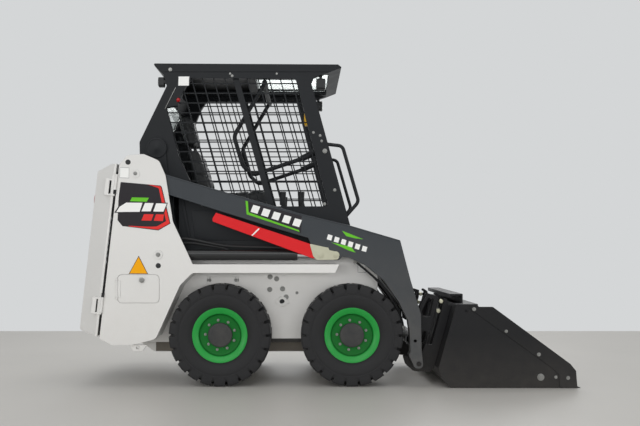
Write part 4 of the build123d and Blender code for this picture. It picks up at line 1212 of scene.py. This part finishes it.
def addLenses(settings):
    for name, lens in settings.items():
        bm = bmesh.new()
        reflector = bmesh.new()
        y, z = lens["centre"]
        halfY, halfZ = lens["half"]
        for outward in (right, left):
            front = lens["face"] + lens["facing"] * 0.0016
            addBox(bm, (front, outward * y, z), (0.003, 2 * halfY, 2 * halfZ))
            for column in (-1, 0, 1):
                for row in (-1, 1):
                    across = outward * y + column * halfY * 0.62
                    spot = Vector((lens["face"], across, z + row * halfZ * 0.48))
                    addRod(reflector, spot, spot + Vector((lens["facing"] * 0.0009, 0, 0)), 0.0065, 16)
        roundEdges(bm, 0.001)
        pieceFrom(name, bm, clearLens, "cab", 35)
        pieceFrom(name + "Reflectors", reflector, hardChrome, "cab", 35)


addLenses(lampSettings)
print("cab fittings made")

# dust caps of the quick couplings, held by a strap in the slot of the coupler's ear
couplingSettings = {"places": [(0.671, 0.486), (0.6545, 0.430)], "radius": 0.0125}


def addCouplings(settings):
    caps = bmesh.new()
    straps = bmesh.new()
    radius = settings["radius"]
    profile = [
        (0.0, 0.0), (radius - 0.003, 0.0), (radius - 0.003, 0.012), (radius, 0.014), (radius, 0.026),
        (radius - 0.002, 0.029), (0.0, 0.030),
    ]
    for x, z in settings["places"]:
        for outward in (right, left):
            addLathe(caps, profile, Vector((x, outward * 0.410, z)), outward, 32)
            low, high = z - 0.008, z + 0.008
            corners = [(x - 0.026, low), (x + 0.030, low), (x + 0.030, high), (x - 0.026, high)]
            addPrism(straps, corners, outward * 0.4250, outward * 0.4285)
    pieceFrom("couplingCaps", caps, zincPlate, "bucket", 35)
    pieceFrom("couplingStraps", straps, bucketEnamel, "bucket")


addCouplings(couplingSettings)
print("couplings made")

# padded seat: each pad is blown up a little from its cut form, then gets its sewn channels
padSettings = {
    "seatPad": {
        "node": "seat_cushion",
        "profile": [(-0.690, 1.0550), (-0.354, 1.0550), (-0.350, 1.1440), (-0.690, 1.1260)],
        "half": 0.212,
        "edge": 0.028,
        "swell": 0.011,
        "seams": [("y", -0.125), ("y", 0.125), ("x", -0.560), ("x", -0.470)],
        "floor": 1.0490,
    },
    "backPad": {
        "node": "seat_back",
        "profile": [(-0.714, 1.1650), (-0.796, 1.4080), (-0.854, 1.3900), (-0.796, 1.1650)],
        "half": 0.205,
        "edge": 0.022,
        "swell": 0.010,
        "seams": [("y", -0.110), ("y", 0.110), ("z", 1.250), ("z", 1.330)],
        "floor": 1.1530,
    },
    "headPad": {
        "node": "seat_back",
        "profile": [(-0.804, 1.4400), (-0.852, 1.6300), (-0.912, 1.6180), (-0.862, 1.4400)],
        "half": 0.140,
        "edge": 0.026,
        "swell": 0.010,
        "seams": [("y", -0.085), ("y", 0.085)],
        "floor": 1.4260,
    },
}
clothSettings = {"quality": 6, "mass": 0.3, "stiffness": 15, "pressure": 4, "steps": 20}
seamSettings = {"depth": 0.0045, "halfWidth": 0.006}


def blownMesh(name, settings):
    bm = bmesh.new()
    addPrism(bm, settings["profile"], -settings["half"], settings["half"])
    bmesh.ops.recalc_face_normals(bm, faces=bm.faces)
    roundEdges(bm, settings["edge"], 4, 30)
    mesh = bpy.data.meshes.new(name)
    bm.to_mesh(mesh)
    bm.free()
    pad = link(bpy.data.objects.new(name + "Cut", mesh))
    remesh = pad.modifiers.new("remesh", "REMESH")
    remesh.mode = "VOXEL"
    remesh.voxel_size = 0.007
    graph = bpy.context.evaluated_depsgraph_get()
    fine = bpy.data.meshes.new_from_object(pad.evaluated_get(graph))
    bpy.data.objects.remove(pad)
    rest = [vertex.co.copy() for vertex in fine.vertices]
    pad = link(bpy.data.objects.new(name + "Blown", fine))
    cloth = pad.modifiers.new("cloth", "CLOTH")
    cloth.settings.quality = clothSettings["quality"]
    cloth.settings.mass = clothSettings["mass"]
    cloth.settings.tension_stiffness = clothSettings["stiffness"]
    cloth.settings.compression_stiffness = clothSettings["stiffness"]
    cloth.settings.use_pressure = True
    cloth.settings.uniform_pressure_force = clothSettings["pressure"]
    cloth.settings.effector_weights.gravity = 0
    cloth.point_cache.frame_start = 1
    cloth.point_cache.frame_end = clothSettings["steps"]
    for step in range(1, clothSettings["steps"] + 1):
        scene.frame_set(step)
    graph = bpy.context.evaluated_depsgraph_get()
    blown = bpy.data.meshes.new_from_object(pad.evaluated_get(graph))
    bpy.data.objects.remove(pad)
    scene.frame_set(1)
    for vertex, start in zip(blown.vertices, rest):
        move = vertex.co - start
        if move.length > settings["swell"]:
            move *= settings["swell"] / move.length
        vertex.co = start + move
    return blown


def addPads(padTable):
    for name, settings in padTable.items():
        mesh = blownMesh(name, settings)
        piece = link(bpy.data.objects.new(name, mesh))
        smooth = piece.modifiers.new("smooth", "SUBSURF")
        smooth.levels = 1
        smooth.render_levels = 1
        graph = bpy.context.evaluated_depsgraph_get()
        fine = bpy.data.meshes.new_from_object(piece.evaluated_get(graph))
        bpy.data.objects.remove(piece)
        axes = {"x": 0, "y": 1, "z": 2}
        normals = [vertex.normal.copy() for vertex in fine.vertices]
        for vertex, normal in zip(fine.vertices, normals):
            sink = 0.0
            for axis, level in settings["seams"]:
                gap = abs(vertex.co[axes[axis]] - level)
                press = math.exp(-((gap / seamSettings["halfWidth"]) ** 2))
                sink = max(sink, seamSettings["depth"] * press)
            vertex.co -= normal * sink
            vertex.co.z = max(vertex.co.z, settings["floor"])
        pad = finishPiece(name, fine, seatVinyl, "cab", 180)
        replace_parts(pad, settings["node"])


addPads(padSettings)


def addSeatFrame():
    # folded bracket under the back pad, and the two stays of the head pad
    bm = bmesh.new()
    bracket = [(-0.800, 1.0484), (-0.716, 1.0484), (-0.721, 1.160), (-0.760, 1.200), (-0.800, 1.185)]
    for low, high in ((-0.088, -0.080), (0.080, 0.088)):
        addPrism(bm, bracket, low, high)
    back = [(-0.800, 1.0484), (-0.792, 1.0484), (-0.792, 1.186), (-0.800, 1.186)]
    addPrism(bm, back, -0.080, 0.080)
    for y in (-0.045, 0.045):
        addRod(bm, (-0.812, y, 1.385), (-0.840, y, 1.475), 0.006, 16)
    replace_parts(pieceFrom("seatFrame", bm, frameEnamelAndShadow, "cab", 40), "seat_back")


addSeatFrame()
print("seat made")

studio = {
    "floorColour": "#C2BFB9",
    "floorShade": "#CBC8C2",
    "floorX": (-7, 7),
    "floorY": (-4.8, 2.88),
    "wallColour": "#D4D6D7",
    "worldColour": "#F2F4F7",
    "worldStrength": 0.36,
}
# place, target, size and power of each lamp, and whether glossy surfaces show it
lamps = {
    "topLight": ((0, 0, 5.2), (0, 0, 0.6), (6, 4), 85, True),
    "keyLight": ((-1.5, -5.5, 4.2), (0, 0, 0.6), (5, 3), 60, True),
    "frontLight": ((5.2, -5.6, 1.0), (0, -0.3, 0.4), (3, 2), 40, True),
    "rearSideLight": ((-5.2, -5.2, 1.0), (-0.3, -0.3, 0.4), (2.5, 2), 40, True),
    "lowLight": ((0, -7.5, 1.05), (0, 0, 0.4), (7, 1.3), 210, False),
    "backLight": ((0.4, 5.4, 4.0), (0, 0, 0.8), (5, 3), 105, True),
}


def addStage(settings):
    # polished concrete: pale, faintly clouded
    material, tree = newMaterial("polishedConcrete")
    place = addNode(tree, "ShaderNodeTexCoord").outputs["Object"]
    cloud = addNode(tree, "ShaderNodeTexNoise", {"Vector": place, "Scale": 1.2, "Detail": 5})
    colour = addNode(
        tree,
        "ShaderNodeMix",
        {0: cloud, 6: linear(settings["floorColour"]), 7: linear(settings["floorShade"])},
        data_type="RGBA",
    )
    shader = addNode(
        tree, "ShaderNodeBsdfPrincipled", {"Base Color": colour.outputs[2], "Roughness": 0.45}
    )
    addNode(tree, "ShaderNodeOutputMaterial", {"Surface": shader})
    rear, front = settings["floorX"]
    near, far = settings["floorY"]
    mesh = bpy.data.meshes.new("floor")
    corners = [(rear, near, 0), (front, near, 0), (front, far, 0), (rear, far, 0)]
    mesh.from_pydata(corners, [], [(0, 1, 2, 3)])
    mesh.materials.append(material)
    floor = link(bpy.data.objects.new("floor", mesh))
    floor.location.z = -0.0005


def addWorld(settings):
    # the camera, glass and gloss see a pale wall; everything else gets soft light
    world = bpy.data.worlds.new("studio")
    scene.world = world
    world.use_nodes = True
    tree = world.node_tree
    tree.nodes.clear()
    path = addNode(tree, "ShaderNodeLightPath").outputs
    seen = addNode(
        tree,
        "ShaderNodeMath",
        {0: path["Is Camera Ray"], 1: path["Is Transmission Ray"]},
        operation="MAXIMUM",
    )
    shown = addNode(tree, "ShaderNodeMath", {0: seen, 1: path["Is Glossy Ray"]}, operation="MAXIMUM")
    wall = addNode(
        tree, "ShaderNodeBackground", {"Color": linear(settings["wallColour"]), "Strength": 1.0}
    )
    soft = addNode(
        tree,
        "ShaderNodeBackground",
        {"Color": linear(settings["worldColour"]), "Strength": settings["worldStrength"]},
    )
    mix = addNode(tree, "ShaderNodeMixShader", {0: shown, 1: soft, 2: wall})
    addNode(tree, "ShaderNodeOutputWorld", {"Surface": mix})


def addLamps(settings):
    for name, (place, target, size, power, inGloss) in settings.items():
        data = bpy.data.lights.new(name, "AREA")
        data.shape = "RECTANGLE"
        data.size, data.size_y = size
        data.energy = power
        lamp = link(bpy.data.objects.new(name, data))
        lamp.location = place
        lamp.visible_glossy = inGloss
        lamp.rotation_euler = (Vector(target) - Vector(place)).to_track_quat("-Z", "Y").to_euler()


addStage(studio)
addWorld(studio)
addLamps(lamps)
print("stage and lights placed")
